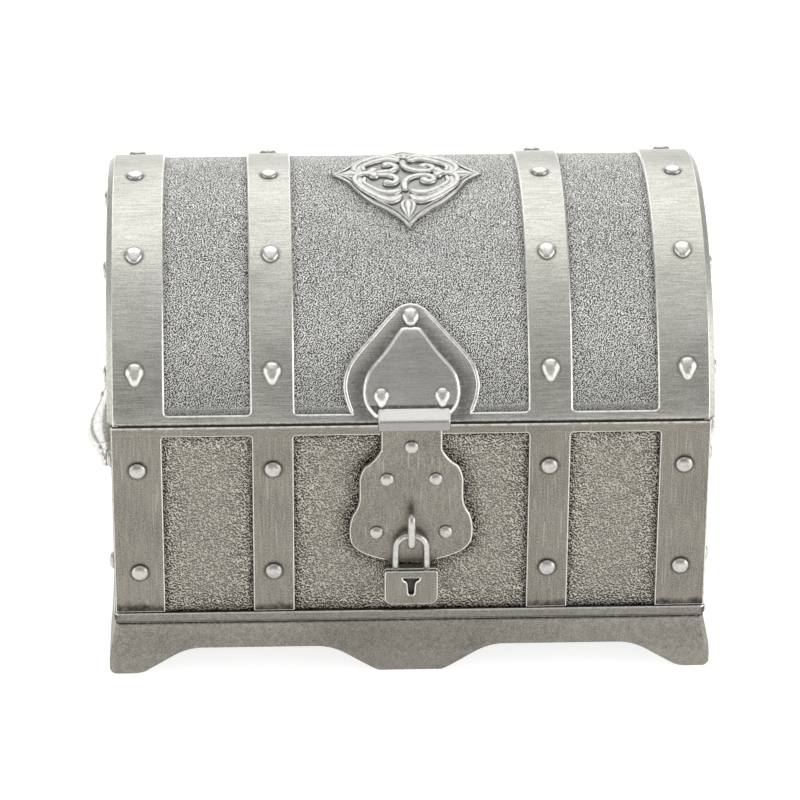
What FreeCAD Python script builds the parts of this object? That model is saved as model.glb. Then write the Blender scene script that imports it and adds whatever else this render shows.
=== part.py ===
import FreeCAD, Part
import math
import os

# Treasure chest box: a cast keepsake box with a barrel lid, strapwork, studs, hasp and padlock.
# Origin under the middle of the feet, +Z up, the front towards -Y, millimetres.

# Driving sizes in millimetres, angles in degrees.
SIZES = {
    # box walls and floor
    "box_width": 81.2,
    "box_depth": 59.7,
    "wall_height": 29.3,
    "wall_thickness": 1.8,
    "floor_thickness": 1.5,
    "moulding_proud": 0.25,
    "moulding_corner": 1.0,
    "moulding_edge": 0.45,
    # plinth and feet
    "plinth_height": 7.8,
    "plinth_flare": 1.0,
    "plinth_wall": 2.2,
    "plinth_corner": 0.8,
    "corner_foot": 5.4,
    "centre_foot": 11.0,
    "arch_height": 3.95,
    "arch_slope": 37.0,
    "arch_round": 6.5,
    # strapwork on box and lid
    "relief": 0.45,
    "corner_strap": 6.9,
    "inner_strap": 5.7,
    "inner_strap_place": 18.75,
    "box_rim": 2.4,
    "box_window_round": 0.7,
    "box_corner_round": 0.35,
    # lid
    "lid_end_overhang": 0.4,
    "lid_face_overhang": 0.85,
    "lid_gap": 0.3,
    "lid_rise": 22.72,
    "lid_wall": 1.6,
    "end_hoop": 7.8,
    "inner_hoop": 6.1,
    "lid_rim": 1.35,
    "lid_window_round": 1.1,
    "lid_end_edge": 0.6,
    "lid_rim_edge": 0.35,
    "end_border": 7.0,
    "end_rim": 2.4,
    # studs
    "stud_width": 2.4,
    "stud_height": 0.75,
    "stud_inset": 3.5,
    "upper_stud_drop": 6.95,
    "lower_stud_drop": 22.85,
    "small_stud_width": 1.9,
    "small_stud_height": 0.6,
    # hasp on the lid
    "peak_width": 18.2,
    "peak_height": 12.5,
    "hasp_width": 12.8,
    "hasp_height": 11.0,
    "hasp_thickness": 0.55,
    "hasp_rise": 0.7,
    "tab_width": 9.6,
    "tab_height": 2.35,
    "tab_drop": 0.65,
    "tab_reach": 1.3,
    "tab_wall": 1.15,
    "tab_round": 0.9,
    # lock plate, staple and padlock
    "lock_plate_width": 17.0,
    "lock_plate_height": 21.6,
    "lock_plate_thickness": 0.9,
    "staple_wire": 1.1,
    "staple_reach": 2.35,
    "staple_span": 3.95,
    "staple_rise": 3.7,
    "staple_bend": 1.1,
    "shackle_wire": 0.95,
    "shackle_width": 5.2,
    "shackle_drop": 5.05,
    "shackle_socket": 1.3,
    "shackle_play": 0.12,
    "padlock_stand": 1.05,
    "padlock_width": 7.4,
    "padlock_height": 5.3,
    "padlock_thickness": 2.3,
    "padlock_round": 0.8,
    "padlock_edge": 0.25,
    "keyhole_depth": 0.8,
    # rear hinge
    "knuckle_radius": 1.3,
    "knuckle_length": 7.5,
    "knuckle_gap": 0.3,
    "pin_radius": 0.65,
    "running_clearance": 0.05,
    "hinge_clearance": 0.25,
    "leaf_thickness": 0.6,
    "leaf_height": 4.4,
    "leaf_rise": 1.8,
    "hinge_pin_overhang": 0.3,
    # bow handles on the ends
    "handle_height": 23.4,
    "handle_span": 22.0,
    "post_radius": 0.9,
    "post_reach": 1.8,
    "post_foot_radius": 1.5,
    "post_foot_thickness": 0.6,
    "bow_reach": 2.2,
    "bow_tilt": 55.0,
    "bow_end_width": 1.4,
    "bow_middle_width": 3.4,
    # medallion on the lid
    "medallion_width": 21.6,
    "medallion_length": 23.8,
    "medallion_thickness": 0.4,
    "medallion_border_rise": 0.4,
    # lining
    "liner_thickness": 0.8,
    "floor_liner_thickness": 1.0,
    "liner_drop": 0.6,
    "liner_clearance": 0.1,
    # shared allowances
    "fit_clearance": 0.02,
    "overrun": 5.0,
}

# Counts
STUDS_ROUND_LID = 5
KNUCKLES = 3
STUD_SIDES = 10
WIRE_SIDES = 8
ARCH_SPANS = 6

# Heights of the plinth's sections and their flare, as shares of the plinth's height and flare
PLINTH_LEVEL_SHARES = (0.0, 0.3, 0.65, 1.0)
PLINTH_FLARE_SHARES = (1.0, 0.56, 0.21, 0.0)

# Bevel that rounds a stud's top, as shares of half its width and of its height
STUD_BEVEL_SHARES = (0.42, 0.7)

# Sections of a handle's bow from one end to the middle: shares of half its span, its reach and its swelling
BOW_SHARES = ((1.0, 0.0, 0.0), (0.72, 0.23, 0.11), (0.4, 0.7, 0.59), (0.0, 1.0, 1.0))

# Right halves of smooth outlines, as shares of half the width and of the height
PEAK_SHARES = ((0.90, 0.0), (0.985, 0.17), (1.0, 0.33), (0.885, 0.52), (0.53, 0.765), (0.2, 0.96), (0.0, 1.0))
HASP_SHARES = ((0.75, 0.0), (0.94, 0.14), (1.0, 0.33), (0.89, 0.545), (0.55, 0.76), (0.23, 0.955), (0.0, 1.0))

# Right half of the lock plate as shares of half its width and its height: a pair is an arc's middle and end
LOCK_PLATE_SHARES = (
    ((0.494, 1.0),), ((0.494, 0.815),), ((0.60, 0.746), (0.741, 0.699)), ((0.812, 0.645), (0.838, 0.56)),
    ((0.838, 0.475),), ((0.865, 0.41), (0.941, 0.352)), ((1.0, 0.235), (0.976, 0.148)),
    ((0.90, 0.103), (0.718, 0.056)), ((0.38, 0.012), (0.0, 0.0)),
)

# Right half of the keyhole's straight-sided outline, as shares of the padlock's half width and height
KEYHOLE_SHARES = ((0.32, 0.70), (0.32, 0.58), (0.16, 0.54), (0.11, 0.28))

# One quarter of the medallion's outline, and its raised border's inner edge, as shares of half its sizes
MEDALLION_SHARES = ([(1.0, 0.0)], [(0.80, 0.13), (0.64, 0.34)], [(0.51, 0.53), (0.33, 0.66)],
                    [(0.13, 0.82), (0.0, 1.0)])
MEDALLION_BORDER_SHARE = 0.86

# Stud places on the lock plate as shares of half its width and its height, and on the hasp likewise
LOCK_STUD_SHARES = ((0.0, 0.834), (-0.39, 0.604), (0.39, 0.604), (-0.553, 0.222), (0.553, 0.222))
HASP_LOW_STUD_SHARES = ((-0.62, 0.29), (0.62, 0.29))
PEAK_STUD_SHARE = 0.92

doc = FreeCAD.newDocument("treasure_chest_box")
sheet = doc.addObject("Spreadsheet::Sheet", "Dim")
for row, (alias, size) in enumerate(SIZES.items(), start=1):
    sheet.set(f"A{row}", alias)
    sheet.set(f"B{row}", str(size))
    sheet.setAlias(f"B{row}", alias)
doc.recompute()

# Formulas on the sheet that several sub-parts share
FLOOR_TOP = "(Dim.plinth_height + Dim.floor_thickness)"
BOX_TOP = f"({FLOOR_TOP} + Dim.wall_height)"
RIM = f"({BOX_TOP} + Dim.lid_gap)"
BOX_X = "(Dim.box_width / 2)"
BOX_Y = "(Dim.box_depth / 2)"
PANEL_X = f"({BOX_X} - Dim.relief)"
PANEL_Y = f"({BOX_Y} - Dim.relief)"
WELL_X = f"({PANEL_X} - Dim.wall_thickness)"
WELL_Y = f"({PANEL_Y} - Dim.wall_thickness)"
LID_X = f"({BOX_X} + Dim.lid_end_overhang)"
LID_Y = f"({BOX_Y} + Dim.lid_face_overhang)"
BARREL_R = f"(({LID_Y} ^ 2 + Dim.lid_rise ^ 2) / (2 * Dim.lid_rise))"
BARREL_Z = f"({RIM} + Dim.lid_rise - {BARREL_R})"
SHELL_R = f"({BARREL_R} - Dim.relief)"
SHELL_X = f"({LID_X} - Dim.relief)"
LID_WELL_X = f"({SHELL_X} - Dim.lid_wall)"
LID_WELL_R = f"({SHELL_R} - Dim.lid_wall)"
HASP_R = f"({BARREL_R} + Dim.hasp_thickness)"
HASP_FOOT = f"({RIM} + Dim.hasp_rise)"
LOCK_PLATE_Y = f"({PANEL_Y} + Dim.lock_plate_thickness)"
LOCK_PLATE_FOOT = f"({BOX_TOP} - Dim.lock_plate_height)"
STAPLE_LOW = f"({LOCK_PLATE_FOOT} + Dim.staple_rise)"
SHACKLE_TOP = f"({STAPLE_LOW} + Dim.staple_wire / 2 + Dim.shackle_play + Dim.shackle_wire / 2)"
PADLOCK_Y = f"({LOCK_PLATE_Y} + Dim.padlock_stand)"
PADLOCK_TOP = f"({SHACKLE_TOP} - Dim.shackle_drop)"
SHACKLE_X = "((Dim.shackle_width - Dim.shackle_wire) / 2)"
HINGE_Y = f"({LID_Y} + Dim.knuckle_radius + Dim.hinge_clearance)"
KNUCKLE_STEP = "(Dim.knuckle_length + Dim.knuckle_gap)"
HINGE_X = f"(({KNUCKLES} * {KNUCKLE_STEP} - Dim.knuckle_gap) / 2)"
BOW_X = f"({PANEL_X} + Dim.post_reach)"
MEDALLION_R = f"({SHELL_R} + Dim.medallion_thickness)"
BORDER_R = f"({MEDALLION_R} + Dim.medallion_border_rise)"
STUD = ("Dim.stud_width", "Dim.stud_height")
SMALL_STUD = ("Dim.small_stud_width", "Dim.small_stud_height")

X_AXIS = FreeCAD.Vector(1, 0, 0)
Y_AXIS = FreeCAD.Vector(0, 1, 0)
Z_AXIS = FreeCAD.Vector(0, 0, 1)
ALONG = {"x": FreeCAD.Rotation(Z_AXIS, X_AXIS), "y": FreeCAD.Rotation(Z_AXIS, Y_AXIS),
         "z": FreeCAD.Rotation()}
SKETCH_TURN = {
    "XY_Plane": FreeCAD.Rotation(),
    "XZ_Plane": FreeCAD.Rotation(X_AXIS, 90),
    "YZ_Plane": FreeCAD.Rotation(0.5, 0.5, 0.5, 0.5),
}
NODES = []


def value(formula):
    return float(sheet.evalExpression(formula))


def place(item, x, y, z):
    for axis, formula in (("x", x), ("y", y), ("z", z)):
        item.setExpression(f"Placement.Base.{axis}", formula)


def node(item, name):
    item.Label = name
    NODES.append(item)
    return item


# Solids bound to the sheet

def block(name, x, y, z):
    """A box between a pair of formulas on each axis."""
    item = doc.addObject("Part::Box", name)
    for prop, (low, high) in (("Length", x), ("Width", y), ("Height", z)):
        item.setExpression(prop, f"({high}) - ({low})")
    place(item, x[0], y[0], z[0])
    return item


def rod(name, axis, radius, length, start):
    """A cylinder from its start point along an axis."""
    item = doc.addObject("Part::Cylinder", name)
    item.Placement = FreeCAD.Placement(FreeCAD.Vector(), ALONG[axis])
    item.setExpression("Radius", radius)
    item.setExpression("Height", length)
    place(item, *start)
    return item


def barrel(name, radius, half_length):
    """A cylinder on the lid's axis, along the whole lid."""
    return rod(name, "x", radius, f"2 * {half_length}", (f"-{half_length}", "0", BARREL_Z))


def cut(name, base, tool):
    item = doc.addObject("Part::Cut", name)
    item.Base = base
    item.Tool = tool
    return item


def common(name, first, second):
    item = doc.addObject("Part::Common", name)
    item.Base = first
    item.Tool = second
    return item


def fuse(name, shapes):
    item = doc.addObject("Part::MultiFuse", name)
    item.Shapes = shapes
    return item


def group(name, shapes):
    item = doc.addObject("Part::Compound", name)
    item.Links = shapes
    return item


# Sketches and outlines

def free_sketch(name, role):
    item = doc.addObject("Sketcher::SketchObject", name)
    item.Placement = FreeCAD.Placement(FreeCAD.Vector(), SKETCH_TURN[role])
    return item


def new_body(name):
    return node(doc.addObject("PartDesign::Body", name), name)


def body_sketch(body, name, role, offset="0"):
    item = body.newObject("Sketcher::SketchObject", name)
    plane = next(feature for feature in body.Origin.OriginFeatures if feature.Role == role)
    item.AttachmentSupport = [(plane, "")]
    item.MapMode = "FlatFace"
    item.setExpression("AttachmentOffset.Base.z", offset)
    return item


def point(pair):
    return FreeCAD.Vector(pair[0], pair[1], 0)


def path(sketch, steps):
    """From point to point: one point makes a line, two an arc's middle and end, more a smooth curve."""
    here = steps[0][0]
    for step in steps[1:]:
        stops = [point(here)] + [point(pair) for pair in step]
        if len(step) == 1:
            sketch.addGeometry(Part.LineSegment(*stops))
        elif len(step) == 2:
            sketch.addGeometry(Part.Arc(*stops))
        else:
            curve = Part.BSplineCurve()
            curve.interpolate(stops)
            sketch.addGeometry(curve)
        here = step[-1]


def outline(sketch, steps):
    """A path that comes back to its start, by a straight line where it doesn't end there."""
    start, end = steps[0][0], steps[-1][-1]
    closing = [] if math.dist(start, end) < value("Dim.fit_clearance") else [[start]]
    path(sketch, list(steps) + closing)


def polygon(sketch, radius, sides, x=0.0, y=0.0):
    """A regular polygon that stands flat on its lowest side."""
    turns = [2 * math.pi * (index + 0.5) / sides - math.pi / 2 for index in range(sides)]
    outline(sketch, [[(x + radius * math.cos(turn), y + radius * math.sin(turn))] for turn in turns])


def corner(at, turn_x, turn_y, radius):
    """A rounded corner: start, middle and end of its arc, coming in along x and leaving along y."""
    shift = radius * (1 - math.sqrt(0.5))
    start = (at[0] + turn_x * radius, at[1])
    middle = (at[0] + turn_x * shift, at[1] + turn_y * shift)
    end = (at[0], at[1] + turn_y * radius)
    return start, middle, end


def rounded_rectangle(sketch, half_x, half_y, radius):
    steps = []
    for sign_x, sign_y in ((1, -1), (1, 1), (-1, 1), (-1, -1)):
        start, middle, end = corner((sign_x * half_x, sign_y * half_y), -sign_x, -sign_y, radius)
        if sign_x == sign_y:
            start, end = end, start
        steps += [[start], [middle, end]]
    outline(sketch, steps)


def window(sketch, left, right, low, high, round_low, round_high):
    """A window with its two low or its two high corners rounded."""
    if round_low:
        a = corner((right, low), -1, 1, round_low)
        b = corner((left, low), 1, 1, round_low)
        outline(sketch, [[b[0]], [a[0]], [a[1], a[2]], [(right, high)], [(left, high)], [b[2]], [b[1], b[0]]])
    else:
        a = corner((right, high), -1, -1, round_high)
        b = corner((left, high), 1, -1, round_high)
        outline(sketch, [[(left, low)], [(right, low)], [a[2]], [a[1], a[0]], [b[0]], [b[1], b[2]]])


def returned(steps):
    """The mirror image of a path that ends on the middle line, run back to the mirror of its start."""
    back = []
    for before, step in zip(steps[-2::-1], steps[:0:-1]):
        stops = list(step[:-1]) + [before[-1]]
        back.append([(-x, y) for x, y in stops])
    return back


def both_halves(shares, half_width, height, foot):
    """The points of a right half in real sizes, followed by those of its mirror image."""
    right = [(x * half_width, foot + y * height) for x, y in shares]
    return right + [(-x, y) for x, y in reversed(right) if x > 0]


def extrusion(name, sketch, length, symmetric=False):
    item = doc.addObject("Part::Extrusion", name)
    item.Base = sketch
    item.DirMode = "Normal"
    item.Solid = True
    item.Symmetric = symmetric
    item.setExpression("LengthFwd", length)
    return item


def loft(name, sections):
    """Straight-sided skin through sections, closed at both ends."""
    item = doc.addObject("Part::Loft", name)
    item.Sections = sections
    item.Solid = True
    item.Ruled = True
    return item


# Part design features

def pad(body, sketch, name, length, symmetric=False):
    item = body.newObject("PartDesign::Pad", name)
    item.Profile = sketch
    item.setExpression("Length", length)
    item.Refine = False
    if symmetric:
        item.SideType = "Symmetric"
    doc.recompute()
    return item


def pocket(body, sketch, name, side="Symmetric", length=None, reverse=False):
    before = body.Shape.Volume
    item = body.newObject("PartDesign::Pocket", name)
    item.Profile = sketch
    item.SideType = side
    item.Reversed = reverse
    item.Refine = False
    if length:
        item.setExpression("Length", length)
    else:
        item.Type = "ThroughAll"
    doc.recompute()
    if not body.Shape.Volume < before:
        raise ValueError(f"{name} cuts nothing")
    return item


def edge_names(shape, wanted):
    return [f"Edge{index + 1}" for index, edge in enumerate(shape.Edges) if wanted(edge)]


def chamfer(body, name, size, wanted):
    """A chamfer on the edges of the body that are wanted."""
    base = body.Tip
    item = body.newObject("PartDesign::Chamfer", name)
    item.Base = (base, edge_names(base.Shape, wanted))
    item.setExpression("Size", size)
    item.Refine = False
    doc.recompute()
    return item


def near(first, second):
    return math.isclose(first, second, abs_tol=value("Dim.fit_clearance") / 10)


# Studs

def stud(name, size, seat, axis, angle):
    """A bevelled button laid over about an axis of the part and set on its seat."""
    width, height = size
    button = doc.addObject("Part::Prism", f"{name}_button")
    button.Polygon = STUD_SIDES
    button.setExpression("Circumradius", f"{width} / 2")
    button.setExpression("Height", height)
    button.recompute()
    edges = enumerate(button.Shape.Edges, 1)
    top = [index for index, edge in edges if near(edge.BoundBox.ZMin, value(height))]
    across, up = value(f"{width} / 2") * STUD_BEVEL_SHARES[0], value(height) * STUD_BEVEL_SHARES[1]
    item = doc.addObject("Part::Chamfer", name)
    item.Base = button
    item.Edges = [(index, up, across) for index in top]
    item.Placement = FreeCAD.Placement(FreeCAD.Vector(), FreeCAD.Rotation(axis, 45))
    item.setExpression("Placement.Rotation.Angle", angle)
    place(item, *seat)
    return item


def barrel_stud(name, size, x, radius, angle):
    seat = (x, f"-{radius} * cos({angle})", f"{BARREL_Z} + {radius} * sin({angle})")
    return stud(name, size, seat, X_AXIS, f"90 deg - {angle}")


# Box

def foot_arch(toe_a, toe_b):
    """The opening between two feet: a straight slope, a rounded shoulder and a level top."""
    slope = math.radians(value("Dim.arch_slope"))
    radius = value("Dim.arch_round")
    top = value("Dim.arch_height")
    overrun = value("Dim.overrun")
    low = top - radius * (1 - math.cos(slope))
    run = low / math.tan(slope)
    reach = radius * math.sin(slope)
    bow = radius * math.sin(slope / 2)
    sag = radius * (1 - math.cos(slope / 2))
    left, right = toe_a + run, toe_b - run
    return [
        [(toe_a, -overrun)], [(toe_a, 0)], [(left, low)],
        [(left + reach - bow, top - sag), (left + reach, top)], [(right - reach, top)],
        [(right - reach + bow, top - sag), (right, low)], [(toe_b, 0)], [(toe_b, -overrun)],
    ]


def make_plinth():
    body = new_body("plinth")
    sections = []
    for level, flare in zip(PLINTH_LEVEL_SHARES, PLINTH_FLARE_SHARES):
        name = f"plinth_section_{len(sections)}"
        sketch = body_sketch(body, name, "XY_Plane", f"Dim.plinth_height * {level}")
        spread = value("Dim.plinth_flare") * flare
        rounded_rectangle(sketch, value(BOX_X) + spread, value(BOX_Y) + spread, value("Dim.plinth_corner"))
        sections.append(sketch)
    skirt = body.newObject("PartDesign::AdditiveLoft", "plinth_skirt")
    skirt.Profile = sections[0]
    skirt.Sections = sections[1:]
    skirt.Ruled = True
    doc.recompute()
    hollow = body_sketch(body, "plinth_hollow", "XY_Plane")
    wall = value("Dim.plinth_wall")
    rounded_rectangle(hollow, value(BOX_X) - wall, value(BOX_Y) - wall, value("Dim.plinth_corner"))
    pocket(body, hollow, "plinth_hollow_cut")
    long_arches = body_sketch(body, "plinth_long_arches", "XZ_Plane")
    inner = value("Dim.centre_foot / 2")
    outer = value(f"{BOX_X} + Dim.plinth_flare - Dim.corner_foot")
    outline(long_arches, foot_arch(inner, outer))
    outline(long_arches, foot_arch(-outer, -inner))
    pocket(body, long_arches, "plinth_long_arches_cut")
    end_arches = body_sketch(body, "plinth_end_arches", "YZ_Plane")
    outer = value(f"{BOX_Y} + Dim.plinth_flare - Dim.corner_foot")
    outline(end_arches, foot_arch(-outer, outer))
    pocket(body, end_arches, "plinth_end_arches_cut")


def make_floor_plate():
    body = new_body("floor_plate")
    sketch = body_sketch(body, "floor_outline", "XY_Plane", "Dim.plinth_height")
    proud = value("Dim.moulding_proud")
    rounded_rectangle(sketch, value(BOX_X) + proud, value(BOX_Y) + proud, value("Dim.moulding_corner"))
    pad(body, sketch, "floor_pad", "Dim.floor_thickness")
    chamfer(body, "floor_moulding", "Dim.moulding_edge", lambda edge: near(edge.BoundBox.ZLength, 0))


def make_panels():
    height = (FLOOR_TOP, BOX_TOP)
    span = (f"-{PANEL_X}", PANEL_X)
    node(block("front_panel", span, (f"-{PANEL_Y}", f"-{WELL_Y}"), height), "front_panel")
    node(block("rear_panel", span, (WELL_Y, PANEL_Y), height), "rear_panel")
    between = (f"-{WELL_Y}", WELL_Y)
    node(block("left_panel", (f"-{PANEL_X}", f"-{WELL_X}"), between, height), "left_panel")
    node(block("right_panel", (WELL_X, PANEL_X), between, height), "right_panel")


def make_box_strapwork():
    body = new_body("box_strapwork")
    sketch = body_sketch(body, "box_strap_outline", "XY_Plane", FLOOR_TOP)
    rounded_rectangle(sketch, value(BOX_X), value(BOX_Y), value("Dim.box_corner_round"))
    pad(body, sketch, "box_strap_pad", "Dim.wall_height")
    hollow = body_sketch(body, "box_strap_hollow", "XY_Plane", FLOOR_TOP)
    across, along = value(PANEL_X), value(PANEL_Y)
    outline(hollow, [[(-across, -along)], [(across, -along)], [(across, along)], [(-across, along)]])
    pocket(body, hollow, "box_strap_hollow_cut")
    low = value(f"{FLOOR_TOP} - Dim.overrun")
    high = value(f"{BOX_TOP} - Dim.box_rim")
    turn = value("Dim.box_window_round")
    middle = value("Dim.inner_strap_place - Dim.inner_strap / 2")
    beside = value("Dim.inner_strap_place + Dim.inner_strap / 2")
    outer = value(f"{BOX_X} - Dim.corner_strap")
    faces = body_sketch(body, "box_long_windows", "XZ_Plane")
    for left, right in ((-outer, -beside), (-middle, middle), (beside, outer)):
        window(faces, left, right, low, high, 0, turn)
    pocket(body, faces, "box_long_windows_cut")
    ends = body_sketch(body, "box_end_windows", "YZ_Plane")
    outer = value(f"{BOX_Y} - Dim.corner_strap")
    window(ends, -outer, outer, low, high, 0, turn)
    pocket(body, ends, "box_end_windows_cut")


def make_box_studs():
    rows = []
    for z in (f"({BOX_TOP} - Dim.upper_stud_drop)", f"({BOX_TOP} - Dim.lower_stud_drop)"):
        for sign, lean in (("-", "90"), ("", "-90")):
            for side in ("-", ""):
                for x in (f"({BOX_X} - Dim.stud_inset)", "Dim.inner_strap_place"):
                    rows.append(((f"{side}{x}", f"{sign}{BOX_Y}", z), X_AXIS, lean))
                lean_side = "-90" if side else "90"
                rows.append(((f"{side}{BOX_X}", f"{sign}({BOX_Y} - Dim.stud_inset)", z), Y_AXIS, lean_side))
    studs = [stud(f"box_stud_{index}", STUD, *row) for index, row in enumerate(rows)]
    node(group("box_studs", studs), "box_studs")


def make_lock_plate():
    body = new_body("lock_plate")
    sketch = body_sketch(body, "lock_plate_outline", "XZ_Plane", PANEL_Y)
    half = value("Dim.lock_plate_width / 2")
    height, foot = value("Dim.lock_plate_height"), value(LOCK_PLATE_FOOT)
    right = [[(x * half, foot + y * height) for x, y in step] for step in LOCK_PLATE_SHARES]
    outline(sketch, right + returned(right))
    pad(body, sketch, "lock_plate_pad", "Dim.lock_plate_thickness")
    step = body_sketch(body, "lock_plate_step", "XZ_Plane", PANEL_Y)
    low, high = value(f"{BOX_TOP} - Dim.box_rim"), value(f"{BOX_TOP} + Dim.overrun")
    outline(step, [[(-half, low)], [(half, low)], [(half, high)], [(-half, high)]])
    pocket(body, step, "lock_plate_step_cut", "One side", "Dim.relief", reverse=True)
    studs = []
    for index, (across, up) in enumerate(LOCK_STUD_SHARES):
        seat = (f"Dim.lock_plate_width / 2 * {across}", f"-{LOCK_PLATE_Y}",
                f"{LOCK_PLATE_FOOT} + Dim.lock_plate_height * {up}")
        studs.append(stud(f"lock_stud_{index}", SMALL_STUD, seat, X_AXIS, "90"))
    node(group("lock_plate_studs", studs), "lock_plate_studs")


def make_staple():
    """A bent bar standing out from the lock plate, in an upright plane."""
    body = new_body("staple")
    sketch = body_sketch(body, "staple_outline", "YZ_Plane")
    seat, half = -value(LOCK_PLATE_Y), value("Dim.staple_wire / 2")
    out = seat - value("Dim.staple_reach")
    low, high, bend = value(STAPLE_LOW), value(f"{STAPLE_LOW} + Dim.staple_span"), value("Dim.staple_bend")
    a = corner((out - half, high + half), 1, -1, bend + half)
    b = corner((out - half, low - half), 1, 1, bend + half)
    c = corner((out + half, low + half), 1, 1, bend - half)
    d = corner((out + half, high - half), 1, -1, bend - half)
    outline(sketch, [
        [(seat, high + half)], [a[0]], [a[1], a[2]], [b[2]], [b[1], b[0]], [(seat, low - half)],
        [(seat, low + half)], [c[0]], [c[1], c[2]], [d[2]], [d[1], d[0]], [(seat, high - half)],
    ])
    pad(body, sketch, "staple_pad", "Dim.staple_wire", symmetric=True)


def make_box_lining():
    across, along = f"({WELL_X} - Dim.liner_clearance)", f"({WELL_Y} - Dim.liner_clearance)"
    floor = (FLOOR_TOP, f"{FLOOR_TOP} + Dim.floor_liner_thickness")
    node(block("floor_liner", (f"-{across}", across), (f"-{along}", along), floor), "floor_liner")
    height = (floor[1], f"{BOX_TOP} - Dim.liner_drop")
    outer = block("wall_liner_outer", (f"-{across}", across), (f"-{along}", along), height)
    across, along = f"({across} - Dim.liner_thickness)", f"({along} - Dim.liner_thickness)"
    inner = block("wall_liner_inner", (f"-{across}", across), (f"-{along}", along),
                  (f"{height[0]} - Dim.overrun", f"{height[1]} + Dim.overrun"))
    node(cut("wall_liner", outer, inner), "wall_liner")


# Lid

def arch_steps(radius, foot):
    """A barrel section in even arcs over the lid's rim, with straight legs down to a foot below it."""
    rim, axis = value(RIM), value(BARREL_Z)
    half = math.sqrt(radius ** 2 - (rim - axis) ** 2)
    lean = math.atan2(half, rim - axis)
    turns = [lean * (1 - index / ARCH_SPANS) for index in range(1, 2 * ARCH_SPANS + 1)]
    spots = [(radius * math.sin(turn), axis + radius * math.cos(turn)) for turn in turns]
    steps = [[(-half, foot)], [(half, foot)]]
    if foot < rim:
        steps.append([(half, rim)])
    return steps + [list(pair) for pair in zip(spots[0::2], spots[1::2])]


def make_lid_shell():
    rim = value(RIM)
    body = new_body("lid_barrel")
    sketch = body_sketch(body, "lid_barrel_outer", "YZ_Plane")
    outline(sketch, arch_steps(value(SHELL_R), rim))
    pad(body, sketch, "lid_barrel_pad", f"2 * {LID_WELL_X}", symmetric=True)
    sketch = body_sketch(body, "lid_barrel_inner", "YZ_Plane")
    outline(sketch, arch_steps(value(LID_WELL_R), rim - value("Dim.overrun")))
    pocket(body, sketch, "lid_barrel_hollow")
    for name, offset in (("lid_end_left", f"-{SHELL_X}"), ("lid_end_right", LID_WELL_X)):
        body = new_body(name)
        sketch = body_sketch(body, f"{name}_outline", "YZ_Plane", offset)
        outline(sketch, arch_steps(value(SHELL_R), rim))
        pad(body, sketch, f"{name}_pad", "Dim.lid_wall")


def peaked_window(sketch, half, low, high, turn):
    """The front middle window, which leaves the peaked plate standing on the rim."""
    peak = both_halves(PEAK_SHARES, value("Dim.peak_width / 2"), value("Dim.peak_height"), low)
    a = corner((half, low), -1, 1, turn)
    b = corner((-half, low), 1, 1, turn)
    around = [[b[0]], [b[1], b[2]], [(-half, high)], [(half, high)], [a[2]], [a[1], a[0]]]
    outline(sketch, [peak[:1], peak[1:]] + around)


def make_lid_strapwork():
    body = new_body("lid_strapwork")
    radius, axis, rim = value(BARREL_R), value(BARREL_Z), value(RIM)
    end = value(LID_X)
    sketch = body_sketch(body, "lid_strap_outer", "YZ_Plane")
    outline(sketch, arch_steps(radius, rim))
    pad(body, sketch, "lid_strap_pad", f"2 * {LID_X}", symmetric=True)
    chamfer(body, "lid_strap_ends", "Dim.lid_end_edge",
            lambda edge: near(edge.BoundBox.XLength, 0) and not near(edge.BoundBox.ZLength, 0))
    chamfer(body, "lid_strap_rim_edge", "Dim.lid_rim_edge",
            lambda edge: near(edge.BoundBox.ZMax, rim) and edge.BoundBox.XLength > end)
    sketch = body_sketch(body, "lid_strap_inner", "YZ_Plane")
    outline(sketch, arch_steps(value(SHELL_R), rim - value("Dim.overrun")))
    pocket(body, sketch, "lid_strap_hollow", length=f"2 * {SHELL_X}")
    low, high = value(f"{RIM} + Dim.lid_rim"), axis + radius + value("Dim.overrun")
    turn = value("Dim.lid_window_round")
    middle = value("Dim.inner_strap_place - Dim.inner_hoop / 2")
    beside = value("Dim.inner_strap_place + Dim.inner_hoop / 2")
    outer = value(f"{LID_X} - Dim.end_hoop")
    for name, reverse in (("rear", False), ("front", True)):
        sketch = body_sketch(body, f"lid_{name}_windows", "XZ_Plane")
        window(sketch, -outer, -beside, low, high, turn, 0)
        window(sketch, beside, outer, low, high, turn, 0)
        if name == "front":
            peaked_window(sketch, middle, low, high, turn)
        else:
            window(sketch, -middle, middle, low, high, turn, 0)
        pocket(body, sketch, f"lid_{name}_windows_cut", "One side", reverse=reverse)
    sketch = body_sketch(body, "lid_end_windows", "YZ_Plane")
    border = radius - value("Dim.end_border")
    low = value(f"{RIM} + Dim.end_rim")
    half = math.sqrt(border ** 2 - (low - axis) ** 2)
    outline(sketch, [[(-half, low)], [(half, low)], [(0, axis + border), (-half, low)]])
    pocket(body, sketch, "lid_end_windows_cut")


def make_lid_studs():
    angles = [f"{180 * (index + 1) / (STUDS_ROUND_LID + 1)} deg" for index in range(STUDS_ROUND_LID)]
    places = (f"({LID_X} - Dim.stud_inset)", "Dim.inner_strap_place")
    hoops = [f"{side}{x}" for x in places for side in ("-", "")]
    studs = []
    for x in hoops:
        for angle in angles:
            studs.append(barrel_stud(f"lid_stud_{len(studs)}", STUD, x, BARREL_R, angle))
    node(group("lid_studs", studs), "lid_studs")
    reach = f"({BARREL_R} - Dim.stud_inset)"
    studs = []
    for side, lean in (("-", "-90"), ("", "90")):
        for angle in angles:
            seat = (f"{side}{LID_X}", f"-{reach} * cos({angle})", f"{BARREL_Z} + {reach} * sin({angle})")
            studs.append(stud(f"lid_end_stud_{len(studs)}", STUD, seat, Y_AXIS, lean))
    node(group("lid_end_studs", studs), "lid_end_studs")


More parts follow.
